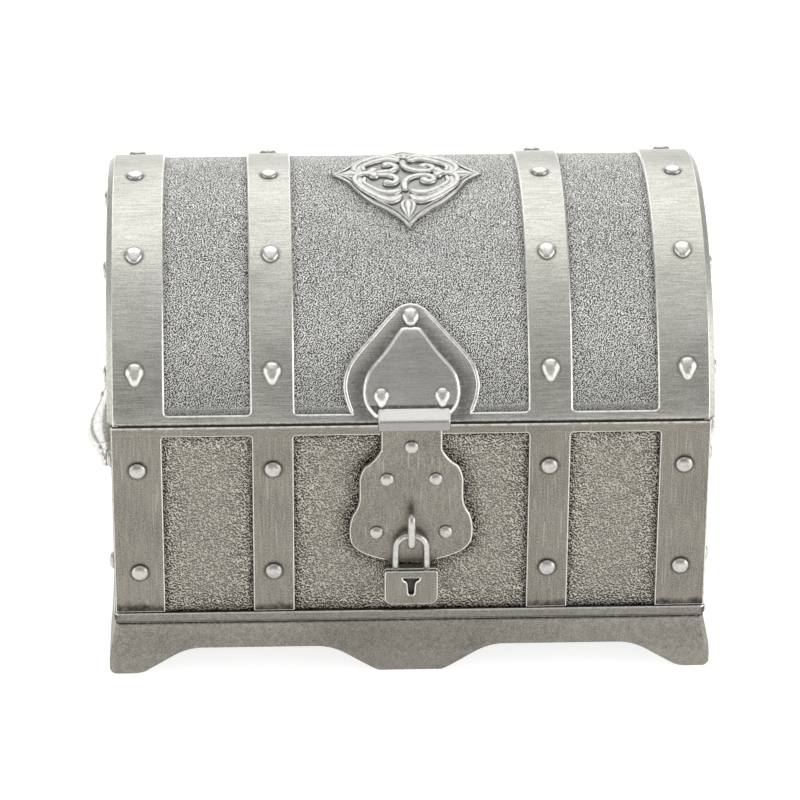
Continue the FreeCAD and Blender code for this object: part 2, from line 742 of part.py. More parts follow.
def make_hasp():
    sketch = free_sketch("hasp_outline", "XZ_Plane")
    half = value("Dim.hasp_width / 2")
    rim = both_halves(HASP_SHARES, half, value("Dim.hasp_height"), value(HASP_FOOT))
    outline(sketch, [rim[:1], rim[1:]])
    prism = extrusion("hasp_prism", sketch, f"2 * {LID_Y}")
    sheet_metal = cut("hasp_sheet", barrel("hasp_outside", HASP_R, LID_X),
                      barrel("hasp_inside", BARREL_R, LID_X))
    plate = common("hasp_plate", prism, sheet_metal)
    profile = free_sketch("hasp_tab_profile", "YZ_Plane")
    out = -value(f"{LID_Y} + Dim.tab_reach")
    back = out + value("Dim.tab_wall")
    rim, low, high = value(RIM), value(f"{RIM} - Dim.tab_drop"), value(f"{RIM} + Dim.tab_height")
    turn = corner((out, high), 1, -1, value("Dim.tab_round"))
    inside = -value(WELL_Y)
    outline(profile, [[(inside, high)], [turn[0]], [turn[1], turn[2]], [(out, low)], [(back, low)],
                      [(back, rim)], [(inside, rim)]])
    bar = extrusion("hasp_tab_bar", profile, "Dim.tab_width", symmetric=True)
    tab = cut("hasp_tab", bar, barrel("hasp_tab_inside", BARREL_R, LID_X))
    node(fuse("hasp", [plate, tab]), "hasp")


def angle_at_height(z, radius):
    return f"asin(({z} - {BARREL_Z}) / {radius})"


def make_hasp_studs():
    peak = f"({RIM} + Dim.lid_rim + Dim.peak_height * {PEAK_STUD_SHARE})"
    studs = [barrel_stud("hasp_stud_top", SMALL_STUD, "0", BARREL_R,
                         angle_at_height(peak, BARREL_R))]
    for across, up in HASP_LOW_STUD_SHARES:
        angle = angle_at_height(f"({HASP_FOOT} + Dim.hasp_height * {up})", HASP_R)
        studs.append(barrel_stud(f"hasp_stud_low_{len(studs)}", SMALL_STUD,
                                 f"Dim.hasp_width / 2 * {across}", HASP_R, angle))
    node(group("hasp_studs", studs), "hasp_studs")


def make_medallion():
    quarter = [list(step) for step in MEDALLION_SHARES]
    half_x, half_y = value("Dim.medallion_width / 2"), value("Dim.medallion_length / 2")
    ring = quarter
    for turn in ((-1, 1, True), (-1, -1, False), (1, -1, True)):
        sign_x, sign_y, backward = turn
        ends = [step[-1] for step in quarter]
        order = range(len(quarter) - 1, 0, -1) if backward else range(1, len(quarter))
        for index in order:
            middle = quarter[index][0]
            end = ends[index - 1] if backward else ends[index]
            ring = ring + [[(sign_x * middle[0], sign_y * middle[1]), (sign_x * end[0], sign_y * end[1])]]
    ring = ring[:-1] + [[ring[-1][0], ring[0][0]]]
    prisms = []
    for name, share in (("whole", 1), ("field", MEDALLION_BORDER_SHARE)):
        sketch = free_sketch(f"medallion_{name}", "XY_Plane")
        outline(sketch, [[(x * half_x * share, y * half_y * share) for x, y in step] for step in ring])
        place(sketch, "0", "0", RIM)
        prisms.append(extrusion(f"medallion_{name}_prism", sketch, f"2 * {LID_Y}"))
    plate = cut("medallion_sheet", barrel("medallion_outside", MEDALLION_R, LID_X),
                barrel("medallion_inside", SHELL_R, LID_X))
    border = cut("medallion_border_sheet", barrel("medallion_border_outside", BORDER_R, LID_X),
                 barrel("medallion_border_inside", SHELL_R, LID_X))
    edge = cut("medallion_border_prism", prisms[0], prisms[1])
    pieces = [common("medallion_plate", prisms[0], plate), common("medallion_border", edge, border)]
    node(fuse("medallion", pieces), "medallion")


def make_lid_lining():
    outer = f"({LID_WELL_R} - Dim.liner_clearance)"
    inner = f"({outer} - Dim.liner_thickness)"
    half = f"({LID_WELL_X} - Dim.liner_clearance)"
    low = f"({RIM} + Dim.liner_drop)"
    above = block("lid_liner_zone", (f"-{half}", half), (f"-{LID_Y}", LID_Y), (low, f"{low} + {LID_Y}"))
    arch = cut("lid_liner_arch", barrel("lid_liner_outside", outer, half),
               barrel("lid_liner_inside", inner, LID_X))
    node(common("lid_liner", arch, above), "lid_liner")
    round_end = barrel("lid_end_liner_round", f"({inner} - Dim.liner_clearance)", half)
    disc = common("lid_end_liner_disc", round_end, above)
    gap = f"({half} - Dim.liner_thickness)"
    core = block("lid_end_liner_gap", (f"-{gap}", gap), (f"-{LID_Y}", LID_Y), ("0", f"{low} + {LID_Y}"))
    node(cut("lid_end_liners", disc, core), "lid_end_liners")


# Rear hinge

def knuckles(name, indices, web_low, web_high):
    """Hinge knuckles with the webs that carry them, before the bore."""
    pieces = []
    for index in indices:
        start = f"(-{HINGE_X} + {index} * {KNUCKLE_STEP})"
        pieces.append(rod(f"{name}_knuckle_{index}", "x", "Dim.knuckle_radius", "Dim.knuckle_length",
                          (start, HINGE_Y, RIM)))
        pieces.append(block(f"{name}_web_{index}", (start, f"{start} + Dim.knuckle_length"), (WELL_Y, HINGE_Y),
                            (web_low, web_high)))
    return pieces


def bored(name, pieces):
    bore = rod(f"{name}_bore", "x", "(Dim.pin_radius + Dim.running_clearance)", f"2 * {HINGE_X}",
               (f"-{HINGE_X}", HINGE_Y, RIM))
    return cut(f"{name}_bored", fuse(f"{name}_solid", pieces), bore)


def make_hinge():
    span = (f"-{HINGE_X}", HINGE_X)
    leaf = block("hinge_box_leaf", span, (BOX_Y, f"{BOX_Y} + Dim.leaf_thickness"),
                 (f"{BOX_TOP} - Dim.leaf_height", BOX_TOP))
    pieces = [leaf] + knuckles("hinge_box", range(0, KNUCKLES, 2), f"{RIM} - Dim.knuckle_radius", BOX_TOP)
    walls = block("hinge_box_walls", (f"-{BOX_X}", BOX_X), ("0", BOX_Y), ("0", f"{BOX_TOP} + Dim.overrun"))
    node(cut("hinge_leaf_box", bored("hinge_box", pieces), walls), "hinge_leaf_box")
    outside = barrel("hinge_lid_outside", f"({BARREL_R} + Dim.leaf_thickness)", LID_X)
    zone = block("hinge_lid_zone", span, ("0", f"2 * {LID_Y}"),
                 (f"{RIM} + Dim.leaf_rise", f"{RIM} + Dim.leaf_rise + Dim.leaf_height"))
    leaf = common("hinge_lid_leaf", outside, zone)
    webs = knuckles("hinge_lid", range(1, KNUCKLES, 2), RIM, f"{RIM} + Dim.knuckle_radius")
    for index in range(1, KNUCKLES, 2):
        start = f"(-{HINGE_X} + {index} * {KNUCKLE_STEP})"
        neck = block(f"hinge_lid_neck_{index}", (start, f"{start} + Dim.knuckle_length"),
                     ("0", f"2 * {LID_Y}"), (RIM, f"{RIM} + Dim.leaf_rise + Dim.leaf_height / 2"))
        webs.append(common(f"hinge_lid_strip_{index}", outside, neck))
    inside = barrel("hinge_lid_inside", BARREL_R, LID_X)
    node(cut("hinge_leaf_lid", bored("hinge_lid", [leaf] + webs), inside), "hinge_leaf_lid")
    half = f"({HINGE_X} + Dim.hinge_pin_overhang)"
    pin = rod("hinge_pin", "x", "Dim.pin_radius", f"2 * {half}", (f"-{half}", HINGE_Y, RIM))
    node(pin, "hinge_pin")


# Padlock

def make_padlock():
    body = new_body("padlock_body")
    sketch = body_sketch(body, "padlock_outline", "XZ_Plane", PADLOCK_Y)
    half, top = value("Dim.padlock_width / 2"), value(PADLOCK_TOP)
    low = top - value("Dim.padlock_height")
    window(sketch, -half, half, low, top, value("Dim.padlock_round"), 0)
    pad(body, sketch, "padlock_pad", "Dim.padlock_thickness", symmetric=True)
    chamfer(body, "padlock_edges", "Dim.padlock_edge", lambda edge: near(edge.BoundBox.YLength, 0))
    sketch = body_sketch(body, "keyhole_outline", "XZ_Plane", f"{PADLOCK_Y} + Dim.padlock_thickness / 2")
    outline(sketch, [[spot] for spot in both_halves(KEYHOLE_SHARES, half, value("Dim.padlock_height"), low)])
    pocket(body, sketch, "keyhole_cut", "One side", "Dim.keyhole_depth")
    sketch = body_sketch(body, "shackle_sockets", "XY_Plane", PADLOCK_TOP)
    for sign in (-1, 1):
        polygon(sketch, value("Dim.shackle_wire / 2 + Dim.fit_clearance"), WIRE_SIDES, sign * value(SHACKLE_X),
                -value(PADLOCK_Y))
    pocket(body, sketch, "shackle_sockets_cut", "One side", "Dim.shackle_socket")
    foot = f"({PADLOCK_TOP} - Dim.shackle_socket)"
    spring = f"({SHACKLE_TOP} - {SHACKLE_X})"
    pieces = []
    for side in ("-", ""):
        section = free_sketch(f"shackle_section_{'left' if side else 'right'}", "XY_Plane")
        polygon(section, value("Dim.shackle_wire / 2"), WIRE_SIDES)
        place(section, f"{side}{SHACKLE_X}", f"-{PADLOCK_Y}", foot)
        pieces.append(extrusion(f"shackle_leg_{'left' if side else 'right'}", section, f"{spring} - {foot}"))
    section = free_sketch("shackle_bow_section", "XY_Plane")
    polygon(section, value("Dim.shackle_wire / 2"), WIRE_SIDES)
    place(section, SHACKLE_X, f"-{PADLOCK_Y}", spring)
    bow = doc.addObject("Part::Revolution", "shackle_bow")
    bow.Source = section
    bow.Axis = -Y_AXIS
    bow.Angle = 180
    bow.Solid = True
    bow.setExpression("Base.y", f"-{PADLOCK_Y}")
    bow.setExpression("Base.z", spring)
    node(fuse("padlock_shackle", pieces + [bow]), "padlock_shackle")


# Bow handles

def make_handle(side, sign):
    """A bow that swells to its middle, leaning out and down between two posts on an end panel."""
    sections = []
    thin, thick = value("Dim.bow_end_width / 2"), value("Dim.bow_middle_width / 2")
    far_half = [(-along, reach, swell) for along, reach, swell in BOW_SHARES[:-1]]
    for along, reach, swell in far_half + list(reversed(BOW_SHARES)):
        section = free_sketch(f"handle_{side}_section_{len(sections)}", "XZ_Plane")
        polygon(section, thin + (thick - thin) * swell, WIRE_SIDES)
        sag = f"Dim.bow_reach * {reach}"
        place(section, f"{sign}({BOW_X} + {sag} * cos(Dim.bow_tilt))", f"Dim.handle_span / 2 * {along}",
              f"Dim.handle_height - {sag} * sin(Dim.bow_tilt)")
        sections.append(section)
    pieces = [loft(f"handle_{side}_bow", sections)]
    length = "(Dim.post_reach + Dim.bow_end_width / 2)"
    for end in ("-", ""):
        name = f"handle_{side}_{'front' if end else 'rear'}"
        for kind, radius, reach in (("post", "Dim.post_radius", length),
                                    ("foot", "Dim.post_foot_radius", "Dim.post_foot_thickness")):
            start = f"-{PANEL_X} - {reach}" if sign else PANEL_X
            pieces.append(rod(f"{name}_{kind}", "x", radius, reach,
                              (start, f"{end}Dim.handle_span / 2", "Dim.handle_height")))
    node(fuse(f"handle_{side}", pieces), f"handle_{side}")


make_plinth()
make_floor_plate()
make_panels()
make_box_strapwork()
make_box_studs()
make_lock_plate()
make_staple()
make_box_lining()
make_lid_shell()
make_lid_strapwork()
make_lid_studs()
make_hasp()
make_hasp_studs()
make_medallion()
make_lid_lining()
make_hinge()
make_padlock()
for handle_side, handle_sign in (("left", "-"), ("right", "")):
    make_handle(handle_side, handle_sign)

doc.recompute()
for item in doc.Objects:
    if "Invalid" in item.State or "Error" in item.State:
        raise ValueError(f"{item.Name} failed: {item.State}")
for item in NODES:
    if item.Shape.isNull() or not item.Shape.isValid():
        raise ValueError(f"{item.Label} has no valid shape")

os.makedirs("parts", exist_ok=True)
for item in NODES:
    item.Shape.exportStep(os.path.join("parts", f"{item.Label}.step"))
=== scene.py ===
import math

import bpy
from mathutils import Euler, Matrix, Vector


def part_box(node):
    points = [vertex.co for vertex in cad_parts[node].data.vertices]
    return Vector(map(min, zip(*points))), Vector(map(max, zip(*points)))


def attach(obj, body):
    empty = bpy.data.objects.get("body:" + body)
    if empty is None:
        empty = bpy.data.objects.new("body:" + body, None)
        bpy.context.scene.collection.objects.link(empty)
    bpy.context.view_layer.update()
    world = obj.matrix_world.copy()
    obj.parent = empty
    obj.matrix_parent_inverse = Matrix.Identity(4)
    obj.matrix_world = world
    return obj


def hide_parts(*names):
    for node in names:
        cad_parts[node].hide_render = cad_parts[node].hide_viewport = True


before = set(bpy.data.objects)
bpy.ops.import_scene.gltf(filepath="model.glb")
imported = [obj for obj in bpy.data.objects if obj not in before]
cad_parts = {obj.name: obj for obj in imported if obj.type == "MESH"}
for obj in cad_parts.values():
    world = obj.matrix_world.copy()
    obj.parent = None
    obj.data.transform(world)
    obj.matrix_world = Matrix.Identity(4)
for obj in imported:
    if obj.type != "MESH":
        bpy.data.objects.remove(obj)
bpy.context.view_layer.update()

# A cast keepsake box in the form of a treasure chest. Shapes are worked out in millimetres
# and brought to metres when a piece is finished.
MM = 0.001


def corners(node):
    return [[c / MM for c in corner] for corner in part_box(node)]


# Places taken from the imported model
LID_LOW, LID_HIGH = corners("lid_strapwork")
BOX_LOW, BOX_HIGH = corners("box_strapwork")
PLINTH_HIGH = corners("plinth")[1]
MOULDING_LOW, MOULDING_HIGH = corners("floor_plate")
PANEL_X, PANEL_Y = corners("right_panel")[1][0], corners("rear_panel")[1][1]
RIM = LID_LOW[2]
LID_X = LID_HIGH[0]
SHELL_X = corners("lid_end_right")[1][0]
# The strapwork's lower edge is bevelled, so its half depth at the rim comes from the arch's own sizes
LID_Y, LID_RISE = 30.7, LID_HIGH[2] - RIM
BARREL_R = (LID_Y ** 2 + LID_RISE ** 2) / (2 * LID_RISE)
BARREL_Z = LID_HIGH[2] - BARREL_R
RELIEF = 0.45
SHELL_R = BARREL_R - RELIEF
TURN = math.pi * BARREL_R

# Widths of the hoops, straps and rails, and the place of the inner ones
END_HOOP, INNER_HOOP, LID_RAIL = 7.8, 6.1, 1.35
CORNER_STRAP, INNER_STRAP, BOX_RAIL = 6.9, 5.7, 1.95
STRAP_PLACE = 18.75
# Places of the studs, and the degrees between two of them round the barrel
LID_STUD_X, BOX_STUD_X, BOX_STUD_Y = LID_X - 3.8, BOX_HIGH[0] - 3.5, BOX_HIGH[1] - 3.5
BOX_STUD_Z = (BOX_HIGH[2] - 6.95, BOX_HIGH[2] - 22.85)
END_STUD_R, STUD_STEP = 28.6, 30
# Half width, height, foot and thickness of the hasp's plate
HASP_HALF, HASP_RISE, HASP_FOOT, HASP_THICK = 6.63, 10.7, RIM + 0.7, 0.55


# Finishes

class Value:
    """One socket of a finish. Arithmetic on it adds Math nodes."""

    def __init__(self, finish, socket):
        self.finish = finish
        self.socket = socket

    def math(self, operation, *terms):
        return self.finish.node("Math", {"operation": operation}, dict(enumerate(terms)))

    def __add__(self, other):
        return self.math("ADD", self, other)

    __radd__ = __add__

    def __sub__(self, other):
        return self.math("SUBTRACT", self, other)

    def __rsub__(self, other):
        return self.math("SUBTRACT", other, self)

    def __mul__(self, other):
        return self.math("MULTIPLY", self, other)

    __rmul__ = __mul__

    def __truediv__(self, other):
        return self.math("DIVIDE", self, other)

    def __rtruediv__(self, other):
        return self.math("DIVIDE", other, self)

    def __pow__(self, other):
        return self.math("POWER", self, other)

    def __abs__(self):
        return self.math("ABSOLUTE", self)

    def least(self, other):
        return self.math("MINIMUM", self, other)

    def most(self, other):
        return self.math("MAXIMUM", self, other)

    def fade(self, start, end, low=0.0, high=1.0):
        """Low up to start, high from end on, and smooth between them."""
        return self.finish.node("MapRange", {"interpolation_type": "SMOOTHSTEP"}, {
            0: self, 1: start, 2: end, 3: low, 4: high})


def far(first, second):
    """How far a point is from a spot, from its two distances."""
    return (first * first + second * second) ** 0.5


class Finish:
    """A material built round one shader, on places in millimetres."""

    def __init__(self, name, constants):
        self.material = bpy.data.materials.new(name)
        self.material.use_nodes = True
        self.tree = self.material.node_tree
        self.shader = next(n for n in self.tree.nodes if n.type == "BSDF_PRINCIPLED")
        for socket, constant in constants.items():
            self.shader.inputs[socket].default_value = constant
        coordinates = self.node("TexCoord", {}, {}, "Object")
        self.place = self.node("VectorMath", {"operation": "SCALE"}, {0: coordinates, "Scale": 1 / MM})
        self.x, self.y, self.z = (self.node("SeparateXYZ", {}, {0: self.place}, axis) for axis in "XYZ")

    def node(self, kind, settings, inputs, output=0):
        item = self.tree.nodes.new("ShaderNode" + kind)
        for key, setting in settings.items():
            setattr(item, key, setting)
        for key, term in inputs.items():
            if isinstance(term, Value):
                self.tree.links.new(term.socket, item.inputs[key])
            else:
                item.inputs[key].default_value = term
        return Value(self, item.outputs[output])

    def feed(self, socket, term):
        self.tree.links.new(term.socket, self.shader.inputs[socket])

    def noise(self, stretch, detail=2.0, roughness=0.5, place=None):
        """Noise from 0 to 1, of so many waves a millimetre, the same or different along the three axes."""
        if not isinstance(stretch, tuple):
            stretch = (stretch,) * 3
        spread = self.node("VectorMath", {"operation": "MULTIPLY"}, {0: place or self.place, 1: stretch})
        return self.node("TexNoise", {}, {
            "Vector": spread, "Scale": 1.0, "Detail": detail, "Roughness": roughness})

    def mark(self, name):
        return self.node("Attribute", {"attribute_name": name}, {}, "Fac")

    def tint(self, factor, first, second):
        return self.node("Mix", {"data_type": "RGBA"}, {0: factor, 6: first, 7: second}, 2)

    def bump(self, height, strength, distance, under=None):
        inputs = {"Height": height, "Strength": strength, "Distance": distance * MM}
        if under:
            inputs["Normal"] = under
        return self.node("Bump", {}, inputs)


# SILVER is the lid's metal. PEWTER, for the box and its fittings, is the same metal set darker: partly the
# box's warmer tone, partly painted shade that keeps its upright faces from shining with the pale floor they
# mirror
SILVER, SILVER_DULL = (0.79, 0.78, 0.712, 1), (0.36, 0.353, 0.318, 1)
PEWTER, PEWTER_DULL = (0.345, 0.326, 0.281, 1), (0.14, 0.132, 0.113, 1)
# The dark that both tarnish and painted shade are tinted towards
PATINA_AND_SHADE = (0.03, 0.028, 0.024, 1)
# Waves a millimetre of the brushed lines, by the way they run
ALONG_X, UPRIGHT, ALL_ROUND = (0.3, 6.0, 6.0), (5.0, 5.0, 0.2), 1.2


def pewter(name, bright, dull, rough, brush, brush_depth, tarnish_and_shade=None, scratches=0.0, rubbed=None,
           shares=(0.36, 0.2, 0.44)):
    """Satin cast metal: brushed lines, clouds, fine specks, scratches, a painted highlight where its rubbed
    mask says, and tarnish and painted shade where its other mask says.
    """
    finish = Finish(name, {"Metallic": 1.0})
    lines = brush(finish) if callable(brush) else finish.noise(brush, 4.0, 0.7)
    clouds = finish.noise(0.11, 3.0, 0.6)
    specks = finish.noise(6.0, 0.0)
    tone = (lines.fade(0.3, 0.7) * shares[0] + clouds.fade(0.3, 0.7) * shares[1]
            + specks.fade(0.36, 0.64) * shares[2])
    colour = finish.tint(tone, dull, bright)
    if scratches:
        thin = finish.noise((3.6, 3.6, 0.2), 0.0).fade(0.72, 0.78)
        colour = finish.tint(thin.most(specks.fade(0.72, 0.78)) * scratches, colour, SILVER)
    # A painted highlight, tinted towards bright silver
    if rubbed:
        colour = finish.tint(rubbed(finish), colour, SILVER)
    # Tarnish and painted shade, tinted towards the dark
    if tarnish_and_shade:
        broken = finish.noise(1.7, 4.0, 0.65)
        colour = finish.tint((tarnish_and_shade(finish) * broken.fade(0.25, 0.6, 0.55, 1.0)).least(1.0), colour, PATINA_AND_SHADE)
    finish.feed("Base Color", colour)
    finish.feed("Roughness", rough + 0.10 * (lines - 0.5) + 0.12 * (clouds - 0.5))
    fine = finish.bump(specks, 0.16, 0.06)
    finish.feed("Normal", finish.bump(lines, brush_depth, 0.06, fine))
    return finish.material


def box_brush(finish):
    """Brushed lines that run up the straps and along the top rail."""
    rail = finish.z.fade(BOX_HIGH[2] - BOX_RAIL - 0.2, BOX_HIGH[2] - BOX_RAIL + 0.1)
    up, along = finish.noise(UPRIGHT, 4.0, 0.7), finish.noise((0.22, 0.22, 4.5), 4.0, 0.7)
    return up + (along - up) * rail


def rail_highlight(finish):
    """A painted highlight along the top rail's upper edge, broken into patches."""
    rub = finish.noise(1.1, 2.0)
    return finish.z.fade(BOX_HIGH[2] - 0.85, BOX_HIGH[2] - 0.5) * rub.fade(0.3, 0.6, 0.2, 0.7)


def barrel_turn(finish):
    return finish.z.math("ARCTAN2", finish.z - BARREL_Z, finish.y * -1.0)


# Where the dark ring round a stud starts to fade and ends, and how the hasp narrows over its height
STUD_RING = (1.15, 1.7)
HASP_TAPER = (1.767, 1.61)


def lid_strap_tarnish_and_shade(finish):
    """Dark rings round the studs, painted shade along the lower edge and low on the hoops, and dark metal
    beside the hasp, partly tarnish and partly a painted contact shadow.
    """
    across, step = abs(finish.x), math.radians(STUD_STEP)
    beside = abs(across - LID_STUD_X).least(abs(across - STRAP_PLACE))
    steps = barrel_turn(finish) / step
    along = abs(steps - steps.math("ROUND", steps)) * (step * BARREL_R)
    ring = far(beside, along).fade(*STUD_RING, 0.6, 0.0)
    # Painted shade along the lid's lower edge
    edge = finish.z.fade(RIM + 0.05, RIM + 0.5, 0.8, 0.0)
    # Darker beside the hasp: partly tarnish, partly a painted contact shadow
    up = (finish.z - HASP_FOOT) / HASP_RISE
    past_hasp = across - HASP_HALF * (HASP_TAPER[0] - HASP_TAPER[1] * up).least(1.0)
    shade = past_hasp.fade(0.1, 3.0, 0.62, 0.0) * finish.y.fade(-10.0, -5.0, 1.0, 0.0)
    # Painted shade low on the strapwork, fading out upwards
    low = finish.z.fade(RIM + 0.5, RIM + 9.0, 0.2, 0.0)
    return ring.most(edge).most(shade).most(low)


def box_strap_tarnish_and_shadow(finish):
    """Dark rings round the studs, dark metal along the foot, and a painted shadow under the lid."""
    across, along = abs(finish.x), abs(finish.y)
    up = abs(finish.z - BOX_STUD_Z[0]).least(abs(finish.z - BOX_STUD_Z[1]))
    beside = abs(across - BOX_STUD_X).least(abs(across - STRAP_PLACE)).least(abs(along - BOX_STUD_Y))
    ring = far(beside, up).fade(*STUD_RING, 0.8, 0.0)
    smudge = finish.noise((0.35, 0.35, 0.25), 3.0, 0.7)
    foot = finish.z.fade(BOX_LOW[2] + 0.2, BOX_LOW[2] + 2.4, 1.0, 0.0) + smudge * 1.4
    # A painted shadow: a dark line under the lid's overhang
    top = finish.z.fade(BOX_HIGH[2] - 0.46, BOX_HIGH[2] - 0.36, 0.0, 1.8)
    return ring.most(foot.fade(1.0, 1.75, 0.0, 0.95)).most(top)


def plinth_darkening(finish):
    """Darker under the moulding and round the centre foot."""
    under = finish.z.fade(PLINTH_HIGH[2] - 0.6, PLINTH_HIGH[2] - 0.1, 0.0, 1.2)
    return under.most(abs(finish.x).fade(9.0, 16.0, 0.2, 0.0))


def moulding_tarnish(finish):
    """Dark metal where the moulding meets the straps."""
    out = (abs(finish.y) - BOX_HIGH[1]).most(abs(finish.x) - BOX_HIGH[0])
    return out.fade(0.0, 0.5, 0.9, 0.0)


def strap_edges(across, width, outer):
    """How far a point is from an inner strap's two edges and from the outer strap's edge."""
    beside = abs(across - (STRAP_PLACE - width / 2)).least(abs(across - (STRAP_PLACE + width / 2)))
    return beside.least(abs(across - outer))


def panel_edges(finish):
    """How far a box panel's point is from the straps, the top rail and the moulding."""
    beside = strap_edges(abs(finish.x), INNER_STRAP, BOX_HIGH[0] - CORNER_STRAP)
    beside = beside.least(abs(abs(finish.y) - (BOX_HIGH[1] - CORNER_STRAP)))
    return beside.least(abs(finish.z - (BOX_HIGH[2] - BOX_RAIL))).least(abs(finish.z - BOX_LOW[2]))


def lid_edges(finish):
    """How far a lid panel's point is from the hoops and the lower rail."""
    return strap_edges(abs(finish.x), INNER_HOOP, LID_X - END_HOOP).least(abs(finish.z - (RIM + LID_RAIL)))


# How the grain is turned off the axes, and the shares in its tone of a grain's height and of its lean, which
# is relief light and shade painted on it
GRAIN_TURN = (0.6, 0.4, 0.5)
GRAIN_HEIGHT, GRAIN_PAINTED_RELIEF = 0.45, 0.55


def grained(name, bright, dull, rough, pitch, painted_relief_shifts, depth, edges, tarnish_and_shade, evenness, rim, margin,
            shade=None):
    """A recessed panel with a cast grain: bright on its grains, dull between, with relief light and shade
    painted on each grain, and pitted and darker by its edges, partly tarnish and partly painted shade.

    Its rim, which shows when the lid is open, is plain, and its margin is smoother."""
    finish = Finish(name, {"Metallic": 1.0})
    clouds = finish.noise(0.09, 3.0, 0.6)
    grained_part = 1.0 - rim(finish)
    bumpy = grained_part * margin(finish)
    # The grain is turned off the axes, so that no flat wall shows its rows, and each grain gets painted
    # relief
    # shading: lighter on the sides that lean away from its shifted neighbours, darker on the others
    middle = finish.node("VectorRotate", {"rotation_type": "EULER_XYZ"}, {
        "Vector": finish.place, "Rotation": GRAIN_TURN})
    height, around = finish.noise(pitch, 0.0, place=middle), 0.0
    for lean in painted_relief_shifts:
        beside = finish.node("VectorMath", {"operation": "ADD"}, {
            0: middle, 1: Euler(GRAIN_TURN).to_matrix() @ Vector(lean)})
        around = finish.noise(pitch, 0.0, place=beside) / len(painted_relief_shifts) + around
    rise = (0.5 + (height - 0.5) * GRAIN_HEIGHT + (height - around) * GRAIN_PAINTED_RELIEF).fade(0.4, 0.6)
    gap = edges(finish)
    near = (gap.fade(0.0, 1.3, 1.0, 0.0) ** 1.4).most(finish.mark("tarnish_and_shade")) * grained_part
    contrast = gap.fade(0.5, 4.0, 1.0, evenness).most(finish.mark("tarnish_and_shade")) * bumpy
    colour = finish.tint(0.55 + (rise - 0.55 + 0.12 * (clouds - 0.5)) * contrast, dull, bright)
    dark = (near * (1.0 - 0.7 * rise) * tarnish_and_shade).least(1.0)
    # An extra mask of painted shade
    if shade:
        dark = dark.most(shade(finish))
    finish.feed("Base Color", finish.tint(dark, colour, PATINA_AND_SHADE))
    finish.feed("Roughness", rough + 0.10 * (clouds - 0.5) + 0.10 * near)
    finish.feed("Normal", finish.bump(height * bumpy, 1.0, depth))
    return finish.material


def polished(name, colour, rough, tarnish_and_shade=None, wear=0.72):
    """Bright metal worn smooth on edges, studs and wires."""
    finish = Finish(name, {"Metallic": 1.0})
    rubbed = finish.noise(1.6, 3.0, 0.6)
    shade = finish.tint(rubbed.fade(0.25, 0.6), tuple(c * wear for c in colour[:3]) + (1,), colour)
    # Tarnish and painted shade where its mask says
    if tarnish_and_shade:
        shade = finish.tint(tarnish_and_shade(finish), shade, PATINA_AND_SHADE)
    finish.feed("Base Color", shade)
    finish.feed("Roughness", rough + 0.16 * (rubbed - 0.5))
    finish.feed("Normal", finish.bump(rubbed, 0.12, 0.05))
    return finish.material


def velvet(name, colour):
    """Short pile on card, paler where it is brushed the other way."""
    finish = Finish(name, {"Sheen Weight": 0.8, "Sheen Roughness": 0.35, "Sheen Tint": (0.9, 0.55, 0.55, 1)})
    pile = finish.noise(4.0, 2.0)
    brushed = finish.noise(0.1, 3.0, 0.6)
    dark = tuple(c * 0.35 for c in colour[:3]) + (1,)
    tone = pile.fade(0.3, 0.7) * 0.45 + brushed.fade(0.35, 0.65) * 0.55
    finish.feed("Base Color", finish.tint(tone, dark, colour))
    finish.feed("Roughness", 0.86 + 0.10 * pile)
    finish.feed("Normal", finish.bump(pile, 0.6, 0.12))
    return finish.material


def by_height(*fade):
    """A mask that changes with height alone."""
    return lambda finish: finish.z.fade(*fade)


def by_rise(*fade):
    """A mask that changes with the rise marked on a stud or scroll."""
    return lambda finish: finish.mark("rise").fade(*fade)


LID_STRAP = pewter("lid_strap_satin", SILVER, SILVER_DULL, rough=0.34, brush=ALONG_X, brush_depth=0.45,
                   tarnish_and_shade=lid_strap_tarnish_and_shade, shares=(0.5, 0.2, 0.3))
BOX_STRAP = pewter("box_strap_satin", PEWTER, PEWTER_DULL, rough=0.40, brush=box_brush, brush_depth=0.16,
                   tarnish_and_shade=box_strap_tarnish_and_shadow, scratches=0.12, rubbed=rail_highlight)
PLINTH_SATIN = pewter("plinth_satin", (0.39, 0.371, 0.325, 1), (0.17, 0.162, 0.141, 1), rough=0.42,
                      brush=ALL_ROUND, brush_depth=0.12, tarnish_and_shade=plinth_darkening)
MOULDING_SATIN = pewter("moulding_satin", (0.46, 0.442, 0.395, 1), (0.26, 0.248, 0.218, 1), rough=0.38,
                        brush=ALONG_X, brush_depth=0.15, tarnish_and_shade=moulding_tarnish)
LOCK_SATIN = pewter("lock_plate_satin", PEWTER, PEWTER_DULL, rough=0.40, brush=(2.4, 2.4, 0.5),
                    brush_depth=0.14, scratches=0.18)
HASP_SATIN = pewter("hasp_satin", (0.68, 0.662, 0.616, 1), (0.4, 0.389, 0.36, 1), rough=0.34, brush=ALONG_X,
                    brush_depth=0.2, tarnish_and_shade=by_height(RIM + 2.45, RIM + 2.7, 0.8, 0.0),
                    shares=(0.45, 0.25, 0.3))
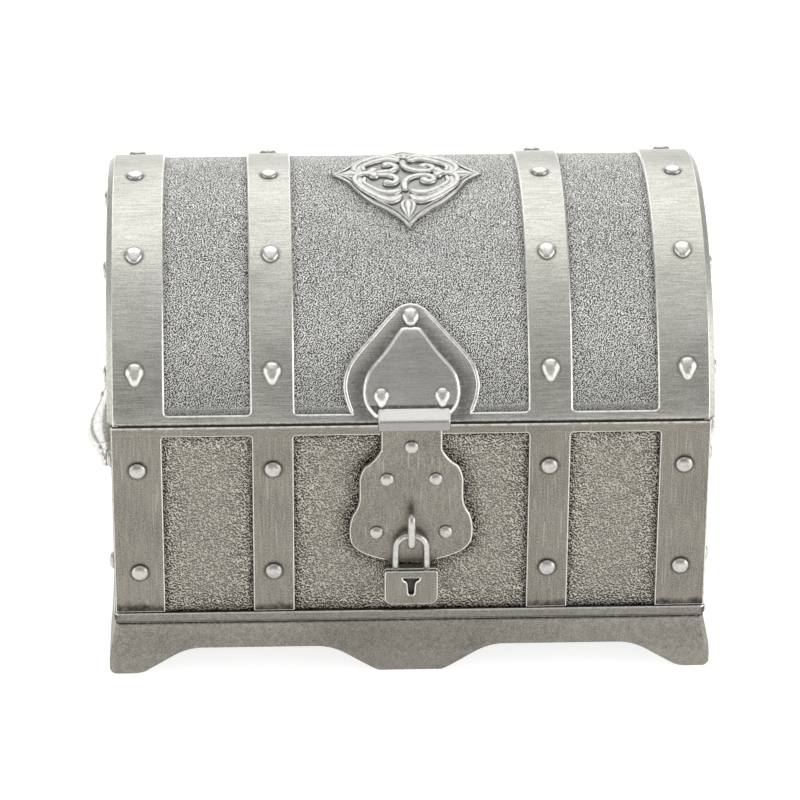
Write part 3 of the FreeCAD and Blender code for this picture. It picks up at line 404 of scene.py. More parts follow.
# The tab's lower face is darkened as painted shade, below its bright roll
TAB_SATIN = polished("tab_satin", (0.96, 0.95, 0.9, 1), 0.28,
                     tarnish_and_shade=by_height(RIM + 0.6, RIM + 1.2, 0.66, 0.0), wear=0.92)
PADLOCK_SATIN = pewter("padlock_satin", PEWTER, PEWTER_DULL, rough=0.38, brush=UPRIGHT, brush_depth=0.12)
HINGE_SATIN = pewter("hinge_satin", PEWTER, PEWTER_DULL, rough=0.40, brush=ALONG_X, brush_depth=0.15)
LID_GRAIN = grained(
    "lid_panel_grain", bright=(0.86, 0.855, 0.82, 1), dull=(0.12, 0.118, 0.112, 1), rough=0.42, pitch=5.4,
    painted_relief_shifts=((0.12, 0.0, 0.0), (-0.05, 0.08, 0.1)), depth=0.26, edges=lid_edges, tarnish_and_shade=0.7, evenness=1.0,
    rim=by_height(RIM + 0.06, RIM + 0.16, 1.0, 0.0),
    # Painted shade, darker towards the lid's foot
    shade=by_height(RIM + LID_RAIL, RIM + LID_RAIL + 11.0, 0.3, 0.0),
    margin=by_height(RIM + LID_RAIL + 0.45, RIM + LID_RAIL + 1.0, 0.25, 1.0))
BOX_GRAIN = grained(
    "box_panel_grain", bright=(0.57, 0.541, 0.468, 1), dull=(0.11, 0.104, 0.089, 1), rough=0.34, pitch=4.3,
    painted_relief_shifts=((0.07, 0.07, 0.15),), depth=0.3, edges=panel_edges, tarnish_and_shade=1.15, evenness=0.58,
    rim=by_height(BOX_HIGH[2] - 0.16, BOX_HIGH[2] - 0.06),
    margin=by_height(BOX_LOW[2] + 0.5, BOX_LOW[2] + 1.1, 0.45, 1.0))
LID_EDGE = polished("lid_edge_bright", (0.94, 0.93, 0.885, 1), 0.30)
BOX_EDGE = polished("box_edge_bright", (0.74, 0.725, 0.67, 1), 0.26)
# A lid stud is darker down its slopes as painted shade, brightest on top
LID_STUD = polished("lid_stud_bright", (0.86, 0.85, 0.80, 1), 0.26, by_rise(0.1, 0.9, 0.52, 0.0))
BOX_STUD = polished("box_stud_bright", (0.58, 0.57, 0.53, 1), 0.34, by_rise(0.0, 0.45, 0.75, 0.0))
WIRE_BRIGHT = polished("wire_bright", (0.60, 0.59, 0.555, 1), 0.28)
HANDLE_BRIGHT = polished("handle_bright", (0.76, 0.75, 0.71, 1), 0.26)
MEDALLION_CAST = polished("medallion_cast", (0.73, 0.724, 0.696, 1), 0.30, by_rise(0.0, 0.5, 0.5, 0.0))
# A dark sheet painted as the shade inside the keyhole
KEYHOLE_PAINTED_SHADE = pewter("keyhole_painted_shade", (0.11, 0.105, 0.092, 1), (0.03, 0.028, 0.025, 1), rough=0.5,
                      brush=UPRIGHT, brush_depth=0.1)
WINE_VELVET = velvet("wine_velvet", (0.13, 0.012, 0.02, 1))


# Outlines

def arc(a, b, c, steps):
    """Points after a on the arc through a, b and c."""
    (ax, ay), (bx, by), (cx, cy) = a, b, c
    double = 2 * (ax * (by - cy) + bx * (cy - ay) + cx * (ay - by))
    sa, sb, sc = ax * ax + ay * ay, bx * bx + by * by, cx * cx + cy * cy
    mx = (sa * (by - cy) + sb * (cy - ay) + sc * (ay - by)) / double
    my = (sa * (cx - bx) + sb * (ax - cx) + sc * (bx - ax)) / double
    start, middle, end = (math.atan2(y - my, x - mx) for x, y in (a, b, c))
    sweep = (end - start) % math.tau
    if (middle - start) % math.tau > sweep:
        sweep -= math.tau
    radius = math.hypot(ax - mx, ay - my)
    turns = [start + sweep * k / steps for k in range(1, steps + 1)]
    return [(mx + radius * math.cos(turn), my + radius * math.sin(turn)) for turn in turns]


def rounded(spots, steps=6):
    """A closed outline through spots of (x, y, radius), rounded at each."""
    line, before, after = [], spots[-1:] + spots[:-1], spots[1:] + spots[:1]
    for (px, py, _), (x, y, radius), (nx, ny, _) in zip(before, spots, after):
        if not radius:
            line.append((x, y))
            continue
        spot = Vector((x, y))
        back, on = (Vector((px, py)) - spot).normalized(), (Vector((nx, ny)) - spot).normalized()
        half = back.angle(on) / 2
        first, last = spot + back * (radius / math.tan(half)), spot + on * (radius / math.tan(half))
        centre = spot + (back + on).normalized() * (radius / math.sin(half))
        middle = centre + (spot - centre).normalized() * radius
        line += [tuple(first)] + arc(tuple(first), tuple(middle), tuple(last), steps)
    return line


def framed(left, right, low, high, foot, top, steps=6):
    """A rectangle whose lower and upper corners have the radii foot and top."""
    return rounded([(left, low, foot), (right, low, foot), (right, high, top), (left, high, top)], steps)


def flowing(points, steps):
    """A smooth line through the points, whatever their number of values."""
    ends = [points[0]] + list(points) + [points[-1]]
    line = []
    for a, b, c, d in zip(ends, ends[1:], ends[2:], ends[3:]):
        for k in range(steps):
            t = k / steps
            line.append(tuple(
                0.5 * (2 * q + (r - p) * t + (2 * p - 5 * q + 4 * r - s) * t * t
                       + (3 * q - p - 3 * r + s) * t ** 3)
                for p, q, r, s in zip(a, b, c, d)))
    return line + [tuple(points[-1])]


def both_sides(half):
    """A closed outline from its right half, which runs from the foot to the top."""
    return half + [(-x, y) for x, y in reversed(half) if x > 1e-6]


def up_barrel(z, radius=BARREL_R):
    """Length round the barrel from its front level line to a height."""
    return BARREL_R * math.asin((z - BARREL_Z) / radius)


def end_arch(radius, foot, steps):
    """The lid's section at a radius, down to a level foot."""
    start = math.asin((foot - BARREL_Z) / radius)
    turns = [start + (math.pi - 2 * start) * k / steps for k in range(steps + 1)]
    return [(-radius * math.cos(turn), BARREL_Z + radius * math.sin(turn)) for turn in turns]


# Modelling steps

def select_only(*pieces):
    bpy.ops.object.select_all(action="DESELECT")
    for piece in pieces:
        piece.select_set(True)
    bpy.context.view_layer.objects.active = pieces[0]


def apply_modifier(piece, kind, **settings):
    select_only(piece)
    item = piece.modifiers.new(kind.lower(), kind)
    for key, setting in settings.items():
        setattr(item, key, setting)
    bpy.ops.object.modifier_apply(modifier=item.name)


def open_mesh(piece):
    """Goes into edit mode with all of a piece selected."""
    select_only(piece)
    bpy.ops.object.mode_set(mode="EDIT")
    bpy.ops.mesh.select_all(action="SELECT")


def close_mesh():
    bpy.ops.object.mode_set(mode="OBJECT")


# Points this near are merged
MERGE = 0.004


def clean(piece):
    open_mesh(piece)
    bpy.ops.mesh.remove_doubles(threshold=MERGE)
    bpy.ops.mesh.normals_make_consistent(inside=False)
    close_mesh()


def dress(piece, finishes):
    piece.data.materials.clear()
    for finish in finishes:
        piece.data.materials.append(finish)


def linked(name, data):
    piece = bpy.data.objects.new(name, data)
    bpy.context.scene.collection.objects.link(piece)
    return piece


def curve_mesh(name, curve):
    """The mesh of a curve, as a new object."""
    select_only(linked(name, curve))
    bpy.ops.object.convert(target="MESH")
    return bpy.context.object


# Faces that slope between these are a plate's rounded edge
EDGE_SLOPE = (0.1, 0.985)


def plate(name, loops, thickness, edge, finishes, rounds=2):
    """A flat plate cut from outlines, its top at height 0 and its edges rounded."""
    curve = bpy.data.curves.new(name, "CURVE")
    curve.dimensions = "2D"
    curve.fill_mode = "BOTH"
    curve.extrude = thickness / 2 - edge
    curve.bevel_depth = edge
    curve.bevel_resolution = rounds
    curve.offset = -edge
    for loop in loops:
        spline = curve.splines.new("POLY")
        spline.points.add(len(loop) - 1)
        for point, (u, v) in zip(spline.points, loop):
            point.co = (u, v, 0, 1)
        spline.use_cyclic_u = True
    piece = curve_mesh(name, curve)
    piece.data.transform(Matrix.Translation((0, 0, -thickness / 2)))
    clean(piece)
    dress(piece, finishes)
    if len(finishes) > 1:
        for face in piece.data.polygons:
            face.material_index = int(EDGE_SLOPE[0] < abs(face.normal.z) < EDGE_SLOPE[1])
    return piece


def bar(name, path, finishes, sides=4):
    """A round bar along points of (x, y, z, radius)."""
    curve = bpy.data.curves.new(name, "CURVE")
    curve.dimensions = "3D"
    curve.bevel_depth = 1.0
    curve.bevel_resolution = sides
    curve.use_fill_caps = True
    spline = curve.splines.new("POLY")
    spline.points.add(len(path) - 1)
    for point, (x, y, z, radius) in zip(spline.points, path):
        point.co = (x, y, z, 1)
        point.radius = radius
    piece = curve_mesh(name, curve)
    clean(piece)
    dress(piece, finishes)
    return piece


# Turns at which a rounded end has its rings, from its tip, and the tip's radius
CAP_TURNS, CAP_TIP = (math.pi / 2, 1.1, 0.75, 0.4), 0.03


def blunted(path):
    """The same path with both of its ends rounded off."""
    caps = []
    for end, inward in ((path[0], path[1]), (path[-1], path[-2])):
        radius = end[3]
        ahead = (Vector(end[:3]) - Vector(inward[:3])).normalized() * radius
        caps.append([tuple(Vector(end[:3]) + ahead * math.sin(turn))
                     + (max(radius * math.cos(turn), CAP_TIP),) for turn in CAP_TURNS])
    return caps[0] + path + caps[1][::-1]


def turned(name, profile, steps, finishes):
    """A piece turned about the upright axis from a profile of (radius, height)."""
    mesh = bpy.data.meshes.new(name)
    mesh.from_pydata([(r, 0, h) for r, h in profile], [(k, k + 1) for k in range(len(profile) - 1)], [])
    piece = linked(name, mesh)
    apply_modifier(piece, "SCREW", axis="Z", steps=steps, render_steps=steps, use_merge_vertices=True,
                   merge_threshold=0.001, use_normal_calculate=True)
    clean(piece)
    dress(piece, finishes)
    return piece


def joined(name, pieces):
    select_only(*pieces)
    if len(pieces) > 1:
        bpy.ops.object.join()
    piece = bpy.context.object
    piece.name = name
    piece.data.name = name
    return piece


def copied(master, turn):
    piece = master.copy()
    piece.data = master.data.copy()
    bpy.context.scene.collection.objects.link(piece)
    piece.data.transform(turn)
    return piece


def discard(*pieces):
    for piece in pieces:
        bpy.data.objects.remove(piece)


def sliced(piece, step):
    """Cuts across a flat plate, so that it can be wrapped round the barrel."""
    places = [vertex.co.y for vertex in piece.data.vertices]
    low, high = min(places), max(places)
    count = max(2, round((high - low) / step))
    open_mesh(piece)
    for k in range(1, count):
        bpy.ops.mesh.select_all(action="SELECT")
        bpy.ops.mesh.bisect(plane_co=(0, low + (high - low) * k / count, 0), plane_no=(0, 1, 0))
    close_mesh()


def over_barrel(piece, lift=0.0):
    """Wraps a flat shape, across in x and round in y, over the lid's barrel."""
    for vertex in piece.data.vertices:
        across, along, height = vertex.co
        turn, out = along / BARREL_R, BARREL_R + lift + height
        vertex.co = (across, -out * math.cos(turn), BARREL_Z + out * math.sin(turn))
    piece.data.update()


def trimmed(piece):
    """Cuts away what lies under the lid's rim and closes the cut."""
    open_mesh(piece)
    bpy.ops.mesh.bisect(plane_co=(0, 0, RIM), plane_no=(0, 0, 1), use_fill=True, clear_inner=True)
    close_mesh()


def grid(columns, rows, half_x, half_y, middle):
    """A flat sheet of so many faces across and along."""
    bpy.ops.object.select_all(action="DESELECT")
    bpy.ops.mesh.primitive_grid_add(x_subdivisions=columns, y_subdivisions=rows, size=2, location=middle)
    sheet = bpy.context.object
    sheet.scale = (half_x, half_y, 1)
    bpy.ops.object.transform_apply(location=True, rotation=True, scale=True)
    return sheet


def block(name, low, high, finishes):
    bpy.ops.object.select_all(action="DESELECT")
    bpy.ops.mesh.primitive_cube_add(size=1, location=[(a + b) / 2 for a, b in zip(low, high)])
    piece = bpy.context.object
    piece.name = name
    piece.scale = [b - a for a, b in zip(low, high)]
    bpy.ops.object.transform_apply(location=True, rotation=True, scale=True)
    dress(piece, finishes)
    return piece


def cut_by(piece, tool):
    apply_modifier(piece, "BOOLEAN", operation="DIFFERENCE", solver="EXACT", object=tool)
    discard(tool)


def bevelled(piece, width, segments, degrees=50, **settings):
    apply_modifier(piece, "BEVEL", width=width, segments=segments, limit_method="ANGLE",
                   angle_limit=math.radians(degrees), **settings)


# Turns that stand a flat plate on one side of the chest, its top facing out
FRONT = Matrix(((1, 0, 0, 0), (0, 0, -1, 0), (0, 1, 0, 0), (0, 0, 0, 1)))
REAR = Matrix(((-1, 0, 0, 0), (0, 0, 1, 0), (0, 1, 0, 0), (0, 0, 0, 1)))
RIGHT = Matrix(((0, 0, 1, 0), (1, 0, 0, 0), (0, 1, 0, 0), (0, 0, 0, 1)))
LEFT = Matrix(((0, 0, -1, 0), (-1, 0, 0, 0), (0, 1, 0, 0), (0, 0, 0, 1)))


def stood(piece, side, out):
    """Stands a flat piece on a side, its top so far out from the middle."""
    piece.data.transform(side @ Matrix.Translation((0, 0, out)))
    return piece


def on_barrel(x, degrees, radius):
    """Seat of a small piece on the barrel: across, round and out."""
    turn = math.radians(degrees)
    c, s = math.cos(turn), math.sin(turn)
    return Matrix(((1, 0, 0, x), (0, s, -c, -radius * c), (0, c, s, BARREL_Z + radius * s), (0, 0, 0, 1)))


def marked(piece, name, measure):
    """Keeps a number at each point for the finish to read."""
    layer = piece.data.attributes.new(name, "FLOAT", "POINT")
    for vertex, item in zip(piece.data.vertices, layer.data):
        item.value = measure(vertex.co)


def finished(piece, body, slot, *nodes, smooth=32, weighted=True):
    """Brings a piece to metres, smooths it and gives it to its body."""
    piece.data.transform(Matrix.Scale(MM, 4))
    select_only(piece)
    bpy.ops.object.shade_smooth_by_angle(angle=math.radians(smooth))
    if weighted:
        apply_modifier(piece, "WEIGHTED_NORMAL", keep_sharp=True, weight=80)
    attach(piece, body)
    if nodes:
        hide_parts(*nodes)


# How studs and wires are smoothed
SOFT = {"smooth": 50, "weighted": False}


# Lid

# Right halves of the peaked plate and the hasp from the foot, as shares of half their width and their height
PEAK_SHARES = ((0.90, 0), (0.985, 0.17), (1, 0.33), (0.885, 0.52), (0.53, 0.765), (0.2, 0.96), (0, 1))
HASP_SHARES = ((0.75, 0), (0.94, 0.14), (1, 0.33), (0.89, 0.545), (0.55, 0.76), (0.27, 0.955), (0.14, 1),
               (0, 1))
PEAK_HALF, PEAK_RISE = 9.1, 12.5


def half_line(shares, half, foot, rise):
    """The right half of an outline, across and round the barrel."""
    return [(x * half, up_barrel(foot + y * rise)) for x, y in flowing(shares, 6)]


PEAK_HALF_LINE = half_line(PEAK_SHARES, PEAK_HALF, RIM + LID_RAIL, PEAK_RISE)
HASP_HALF_LINE = half_line(HASP_SHARES, HASP_HALF, HASP_FOOT, HASP_RISE)
FRONT_RIM, FRONT_RAIL = up_barrel(RIM), up_barrel(RIM + LID_RAIL)
# The strapwork's half width inside the corner beads, thickness, edge, window corners and wrapping steps
SHEET_X, SHEET_THICK, SHEET_ROUND, LID_WINDOW_ROUND, WRAP_STEP = LID_X - 0.85, 1.0, 0.42, 0.45, 1.3
# Plain metal shows this far up from the rim and in from the corner beads, instead of the bright edge
PLAIN_RIM, PLAIN_SIDE = 0.4, 0.45
# The peaked plate's shoulder: shares of the plate's outline, radius, radius at its ends and depth
SHOULDER_SHARES, SHOULDER_R, SHOULDER_END_R, SHOULDER_SUNK = (0.973, 0.98), 0.32, 0.15, 0.2
# A corner bead's section, in from the lid's end and down from its top, with the rounding, its ends'
# edges, and the slopes between which it is bright
BEAD_SECTION = ((1.5, 0.01, 0), (0.82, 0.01, 0.35), (0.02, 0.75, 0.2), (0.02, 1.1, 0), (1.5, 1.1, 0))
BEAD_END_ROUND, BEAD_BRIGHT = 0.05, (0.8, EDGE_SLOPE[1])
# An end border's outer and inner edge, down from the barrel and up from the rim, thickness and rounding
END_BORDER, BORDER_THICK, BORDER_ROUND = ((0.72, 0.0), (7.0, 2.4)), 0.8, 0.18


def make_lid_strapwork():
    low, high, turn = FRONT_RAIL, TURN - FRONT_RAIL, LID_WINDOW_ROUND
    inner, beside, outer = STRAP_PLACE - INNER_HOOP / 2, STRAP_PLACE + INNER_HOOP / 2, LID_X - END_HOOP
    loops = [framed(-SHEET_X, SHEET_X, FRONT_RIM, TURN - FRONT_RIM, 0, 0)]
    for left, right in ((-outer, -beside), (beside, outer)):
        loops.append(framed(left, right, low, high, turn, turn))
    square, first_corner = framed(-inner, inner, low, high, turn, turn), 7
    peak = [(-x, y) for x, y in PEAK_HALF_LINE] + list(reversed(PEAK_HALF_LINE))[1:]
    # The middle window runs over the peaked plate, between its rounded lower corners
    loops.append(square[:first_corner] + peak + square[first_corner:])
    sheet = plate("lid_strapwork", loops, SHEET_THICK, SHEET_ROUND, (LID_STRAP, LID_EDGE), 4)
    sliced(sheet, WRAP_STEP)
    over_barrel(sheet)
    trimmed(sheet)
    for face in sheet.data.polygons:
        if face.center.z < RIM + PLAIN_RIM or abs(face.center.x) > SHEET_X - PLAIN_SIDE:
            face.material_index = 0
    across, along = SHOULDER_SHARES
    half = [(across * x, FRONT_RAIL + along * (v - FRONT_RAIL), SHOULDER_R) for x, v in PEAK_HALF_LINE]
    half[0] = half[0][:2] + (SHOULDER_END_R,)
    sunk = BARREL_R - SHOULDER_SUNK
    path = [(x, -sunk * math.cos(v / BARREL_R), BARREL_Z + sunk * math.sin(v / BARREL_R), r)
            for x, v, r in [(-x, v, r) for x, v, r in half] + half[-2::-1]]
    pieces = [sheet, bar("peak_shoulder", path, (LID_EDGE,))]
    for sign, side in ((1, RIGHT), (-1, LEFT)):
        section = rounded([(LID_X - x, -y, r) for x, y, r in BEAD_SECTION], 4)
        bead = plate("corner_bead", [section], TURN - 2 * FRONT_RIM, BEAD_END_ROUND, (LID_STRAP, LID_EDGE), 1)
        bead.data.transform(Matrix.Translation((0, FRONT_RIM, 0)) @ Matrix.Rotation(math.pi / 2, 4, "X"))
        for face in bead.data.polygons:
            face.material_index = int(BEAD_BRIGHT[0] < face.normal.z < BEAD_BRIGHT[1])
        sliced(bead, WRAP_STEP)
        over_barrel(bead)
        if sign < 0:
            bead.data.transform(Matrix.Scale(-1, 4, (1, 0, 0)))
            bead.data.flip_normals()
        trimmed(bead)
        loops = [end_arch(BARREL_R - depth, RIM + rise, 60) for depth, rise in END_BORDER]
        border = plate("end_border", loops, BORDER_THICK, BORDER_ROUND, (LID_STRAP, LID_EDGE))
        pieces += [bead, stood(border, side, LID_X)]
    finished(joined("lid_strapwork_dressed", pieces), "lid", "lid_strap_metal", "lid_strapwork")


def nearest(spot, line):
    """Distance from a spot to a closed line of points."""
    best = 1e9
    for a, b in zip(line, line[1:] + line[:1]):
        run = (b[0] - a[0], b[1] - a[1])
        length = run[0] ** 2 + run[1] ** 2 or 1e-12
        t = max(0.0, min(1.0, ((spot[0] - a[0]) * run[0] + (spot[1] - a[1]) * run[1]) / length))
        best = min(best, math.hypot(spot[0] - a[0] - t * run[0], spot[1] - a[1] - t * run[1]))
    return best


# The medallion's place, half width and half length, and a quarter of its outline in shares of them
MEDALLION_X, MEDALLION_HALF, MEDALLION_LONG = 0.25, 10.4, 12.6
MEDALLION_SHARES = ((1, 0), (0.9, 0.075), (0.8, 0.18), (0.69, 0.36), (0.575, 0.5), (0.45, 0.615),
                    (0.29, 0.72), (0.12, 0.855), (0, 1))
MEDALLION_QUARTER = flowing(MEDALLION_SHARES, 3)


def medallion_outline(share=1.0):
    quarter = [(x * MEDALLION_HALF * share, y * MEDALLION_LONG * share) for x, y in MEDALLION_QUARTER]
    half = quarter + [(-x, y) for x, y in reversed(quarter[:-1])]
    return [(x + MEDALLION_X, y + TURN / 2) for x, y in half + [(-x, -y) for x, y in half[1:-1]]]


# The lid's shell: faces across and round, thickness and inset at the ends
SHELL_FACES, SHELL_THICK, SHELL_INSET = (110, 118), 1.6, 0.05
# The tarnish and painted shadow by the peak and medallion: its reach, how much less by the medallion, and its
# outer limits
SHELL_TARNISH_AND_SHADOW, MEDALLION_LESS, TARNISH_AND_SHADOW_X, TARNISH_AND_SHADOW_SHARE = 2.2, 0.5, 14, 0.7


def make_lid_shell():
    low, high = up_barrel(RIM, SHELL_R), TURN - up_barrel(RIM, SHELL_R)
    shell = grid(*SHELL_FACES, SHELL_X - SHELL_INSET, (high - low) / 2, (0, TURN / 2, 0))
    peak, medal = both_sides(PEAK_HALF_LINE), medallion_outline()

    def tarnish_and_shade(spot):
        if abs(spot[0]) > TARNISH_AND_SHADOW_X or spot[1] > TURN * TARNISH_AND_SHADOW_SHARE:
            return 0.0
        gap = min(nearest(spot, peak), nearest(spot, medal) + MEDALLION_LESS)
        return max(0.0, 1 - gap / SHELL_TARNISH_AND_SHADOW) ** 1.5

    marked(shell, "tarnish_and_shade", tarnish_and_shade)
    shell.data.transform(Matrix.Translation((0, 0, SHELL_R - BARREL_R)))
    apply_modifier(shell, "SOLIDIFY", thickness=SHELL_THICK, offset=-1)
    over_barrel(shell)
    clean(shell)
    dress(shell, (LID_GRAIN,))
    finished(joined("lid_barrel_dressed", [shell]), "lid", "lid_grain", "lid_barrel", weighted=False)


# A round stud's foot, and its section over it in shares of half its width and of its height
STUD_FOOT = -0.15
DOME_SHARES = ((1, 0.2), (0.93, 0.48), (0.76, 0.73), (0.5, 0.91), (0.24, 0.98), (0, 1))


def dome(name, width, height, finishes, steps=20):
    """A round stud with a short upright foot."""
    half = width / 2
    profile = [(half, STUD_FOOT)] + [(half * out, height * up) for out, up in DOME_SHARES]
    stud = turned(name, profile, steps, finishes)
    marked(stud, "rise", lambda co: max(0.0, co.z / height))
    return stud


# Sides of a drawn-out stud, and steps of its outline from the round part to the tip
DROP_SIDES, DROP_STEPS = 36, 16


def drop(name, width, length, height, tip, finishes):
    """A stud drawn out downwards to a blunt tip, like a shield."""
    stud = dome(name, width, height, finishes, DROP_SIDES)
    half = width / 2
    reach = length - half - tip

    def stretch(upward):
        """How many times further the outline is than a round one, in a direction that points so far up."""
        best = half
        for k in range(1, DROP_STEPS + 1):
            low, radius = reach * k / DROP_STEPS, half + (tip - half) * k / DROP_STEPS
            along = -upward * low
            inside = radius * radius - (low * low - along * along)
            if inside > 0:
                best = max(best, along + math.sqrt(inside))
        return best / half

    for vertex in stud.data.vertices:
        u, v, _ = vertex.co
        out = math.hypot(u, v)
        if out > 1e-6:
            share = stretch(v / out)
            vertex.co.x, vertex.co.y = u * share, v * share
    stud.data.update()
    return stud


# Round studs as (width, height), and drawn-out ones as (width, length, height, radius of the tip)
BOX_STUD_SIZE, LID_STUD_SIZE, SMALL_STUD_SIZE = (2.4, 0.7), (2.4, 0.62), (2.0, 0.6)
TEAR_SIZE, BLUNT_SIZE = (2.6, 3.3, 0.95, 0.7), (2.45, 2.65, 0.68, 0.9)
SMALL_TEAR_SIZE, PEAK_STUD_SIZE = (2.2, 2.75, 0.85, 0.6), (2.45, 2.7, 0.9, 0.9)
# Studs on the lock plate, the peaked plate and the hasp, in shares of half the width and of the height
LOCK_STUDS = ((0, 0.834), (-0.39, 0.604), (0.39, 0.604), (-0.553, 0.222), (0.553, 0.222))
PEAK_STUD_UP, HASP_STUD_OUT, HASP_STUD_UP = 0.89, 0.62, 0.29


def stud_group(node, body, studs):
    finished(joined(node + "_dressed", studs), body, "stud_metal", node, **SOFT)


def make_studs():
    box_stud = dome("box_stud", *BOX_STUD_SIZE, (BOX_STUD,))
    lid_stud = dome("lid_stud", *LID_STUD_SIZE, (LID_STUD,))
    small_stud = dome("small_stud", *SMALL_STUD_SIZE, (BOX_STUD,))
    tear = drop("tear_stud", *TEAR_SIZE, (LID_STUD,))
    blunt = drop("blunt_stud", *BLUNT_SIZE, (LID_STUD,))
    small_tear = drop("small_tear_stud", *SMALL_TEAR_SIZE, (LID_STUD,))
    peak_stud = drop("peak_stud", *PEAK_STUD_SIZE, (LID_STUD,))
    flip = Matrix.Rotation(math.pi, 4, "Z")
    studs, ends = [], []
    for step, master in enumerate((tear, blunt, lid_stud, blunt, tear), 1):
        degrees = step * STUD_STEP
        turn = flip if degrees > 90 else Matrix()
        for x in (-LID_STUD_X, -STRAP_PLACE, STRAP_PLACE, LID_STUD_X):
            studs.append(copied(master, on_barrel(x, degrees, BARREL_R) @ turn))
        angle = math.radians(degrees)
        y, z = -END_STUD_R * math.cos(angle), BARREL_Z + END_STUD_R * math.sin(angle)
        for side, across in ((RIGHT, y), (LEFT, -y)):
            ends.append(copied(lid_stud, side @ Matrix.Translation((across, z, LID_X))))
    stud_group("lid_studs", "lid", studs)
    stud_group("lid_end_studs", "lid", ends)
    studs = []
    for z in BOX_STUD_Z:
        for side, out, places in ((FRONT, BOX_HIGH[1], (BOX_STUD_X, STRAP_PLACE)),
                                  (REAR, BOX_HIGH[1], (BOX_STUD_X, STRAP_PLACE)),
                                  (RIGHT, BOX_HIGH[0], (BOX_STUD_Y,)), (LEFT, BOX_HIGH[0], (BOX_STUD_Y,))):
            for across in places:
                for sign in (-1, 1):
                    studs.append(copied(box_stud, side @ Matrix.Translation((sign * across, z, out))))
    stud_group("box_studs", "box", studs)
    studs = []
    for across, up in LOCK_STUDS:
        seat = Matrix.Translation((across * LOCK_HALF, LOCK_FOOT + up * LOCK_RISE, LOCK_Y))
        studs.append(copied(small_stud, FRONT @ seat))
    stud_group("lock_plate_studs", "box", studs)
    top = math.degrees(math.asin((RIM + LID_RAIL + PEAK_RISE * PEAK_STUD_UP - BARREL_Z) / BARREL_R))
    studs = [copied(peak_stud, on_barrel(0, top, BARREL_R))]
    hasp_r = BARREL_R + HASP_THICK
    low = math.degrees(math.asin((HASP_FOOT + HASP_RISE * HASP_STUD_UP - BARREL_Z) / hasp_r))
    for sign in (-1, 1):
        studs.append(copied(small_tear, on_barrel(sign * HASP_HALF * HASP_STUD_OUT, low, hasp_r)))
    stud_group("hasp_studs", "lid", studs)
    discard(box_stud, lid_stud, small_stud, tear, blunt, small_tear, peak_stud)


# The hasp's depth into the lid, edge and wrapping steps
HASP_SUNK, HASP_ROUND, HASP_WRAP = 0.75, 0.58, 1.2
# The tab's width, place and edge, and its section, out from the middle and over the rim with the rounding
TAB_WIDE, TAB_X, TAB_ROUND = 9.8, 0.3, 0.35
TAB_OUT, TAB_BACK, TAB_CREST, TAB_ROOT = LID_Y + 1.3, LID_Y + 0.15, 30.3, 28.6
TAB_SECTION = ((TAB_OUT, -0.65, 0.25), (TAB_BACK, -0.65, 0.1), (TAB_BACK, 0.15, 0), (TAB_ROOT, 0.15, 0),
               (TAB_ROOT, 2.35, 0.1), (TAB_CREST, 2.35, 0.4), (TAB_OUT, 0.85, 0.7))


def make_hasp():
    sheet = plate("hasp", [both_sides(HASP_HALF_LINE)], HASP_THICK + HASP_SUNK, HASP_ROUND,
                  (HASP_SATIN, LID_EDGE), 2)
    sliced(sheet, HASP_WRAP)
    over_barrel(sheet, HASP_THICK)
    section = rounded([(-out, RIM + up, r) for out, up, r in TAB_SECTION], 10)
    tab = plate("hasp_tab", [section], TAB_WIDE, TAB_ROUND, (TAB_SATIN,), 4)
    stood(tab, RIGHT, TAB_WIDE / 2 + TAB_X)
    finished(joined("hasp_dressed", [sheet, tab]), "lid", "hasp_metal", "hasp")


# Scrolls of the medallion's front half as points of (across, forward, radius), from its middle
LEAF_RIGHT = ((4.3, 0.7, 0.75), (5.0, 0.0, 0.6), (6.1, 0.1, 0.5), (6.9, 1.0, 0.46), (7.0, 2.2, 0.46),
              (6.45, 3.6, 0.48), (5.0, 5.2, 0.52), (3.3, 6.6, 0.58), (1.8, 7.2, 0.6), (0.85, 6.8, 0.5),
              (0.5, 6.1, 0.4))
VEIN_RIGHT = ((5.6, 1.2, 0.36), (5.75, 2.2, 0.38), (5.25, 3.2, 0.42), (4.1, 4.4, 0.5), (2.7, 5.3, 0.62),
              (1.5, 5.4, 0.62), (0.7, 4.9, 0.45))
CURL_RIGHT = ((-0.3, 4.4, 0.5), (-0.35, 3.2, 0.52), (0.0, 2.0, 0.54), (0.8, 1.15, 0.54), (1.9, 0.7, 0.52),
              (3.0, 0.75, 0.5), (3.7, 1.4, 0.48), (3.6, 2.3, 0.52), (2.9, 2.6, 0.62), (2.4, 2.2, 0.72))
LEAF_LEFT = ((-4.5, 0.8, 0.75), (-5.2, 0.1, 0.6), (-6.3, 0.2, 0.5), (-7.1, 1.1, 0.46), (-7.1, 2.3, 0.46),
             (-6.5, 3.7, 0.48), (-5.2, 5.3, 0.52), (-3.7, 6.6, 0.58), (-2.3, 7.2, 0.6), (-1.4, 6.8, 0.5),
             (-1.0, 6.1, 0.4))
VEIN_LEFT = ((-5.8, 1.4, 0.36), (-5.9, 2.5, 0.38), (-5.2, 3.6, 0.42), (-4.0, 4.8, 0.5), (-2.8, 5.4, 0.62),
             (-1.8, 5.3, 0.62), (-1.1, 4.8, 0.45))
CURL_LEFT = ((-4.2, 0.45, 0.42), (-3.2, 0.5, 0.5), (-2.2, 0.7, 0.54), (-1.5, 1.4, 0.54), (-1.4, 2.3, 0.54),
             (-1.9, 3.0, 0.6), (-2.7, 2.9, 0.72))
BUD = ((0.0, 6.9, 0.25), (0.0, 7.6, 0.5), (0.0, 8.6, 0.55), (0.0, 9.7, 0.36), (0.0, 10.9, 0.12))
BUD_SIDE = ((0.2, 6.8, 0.2), (0.75, 7.5, 0.32), (0.8, 8.4, 0.34), (0.5, 9.4, 0.26), (0.1, 10.6, 0.1))
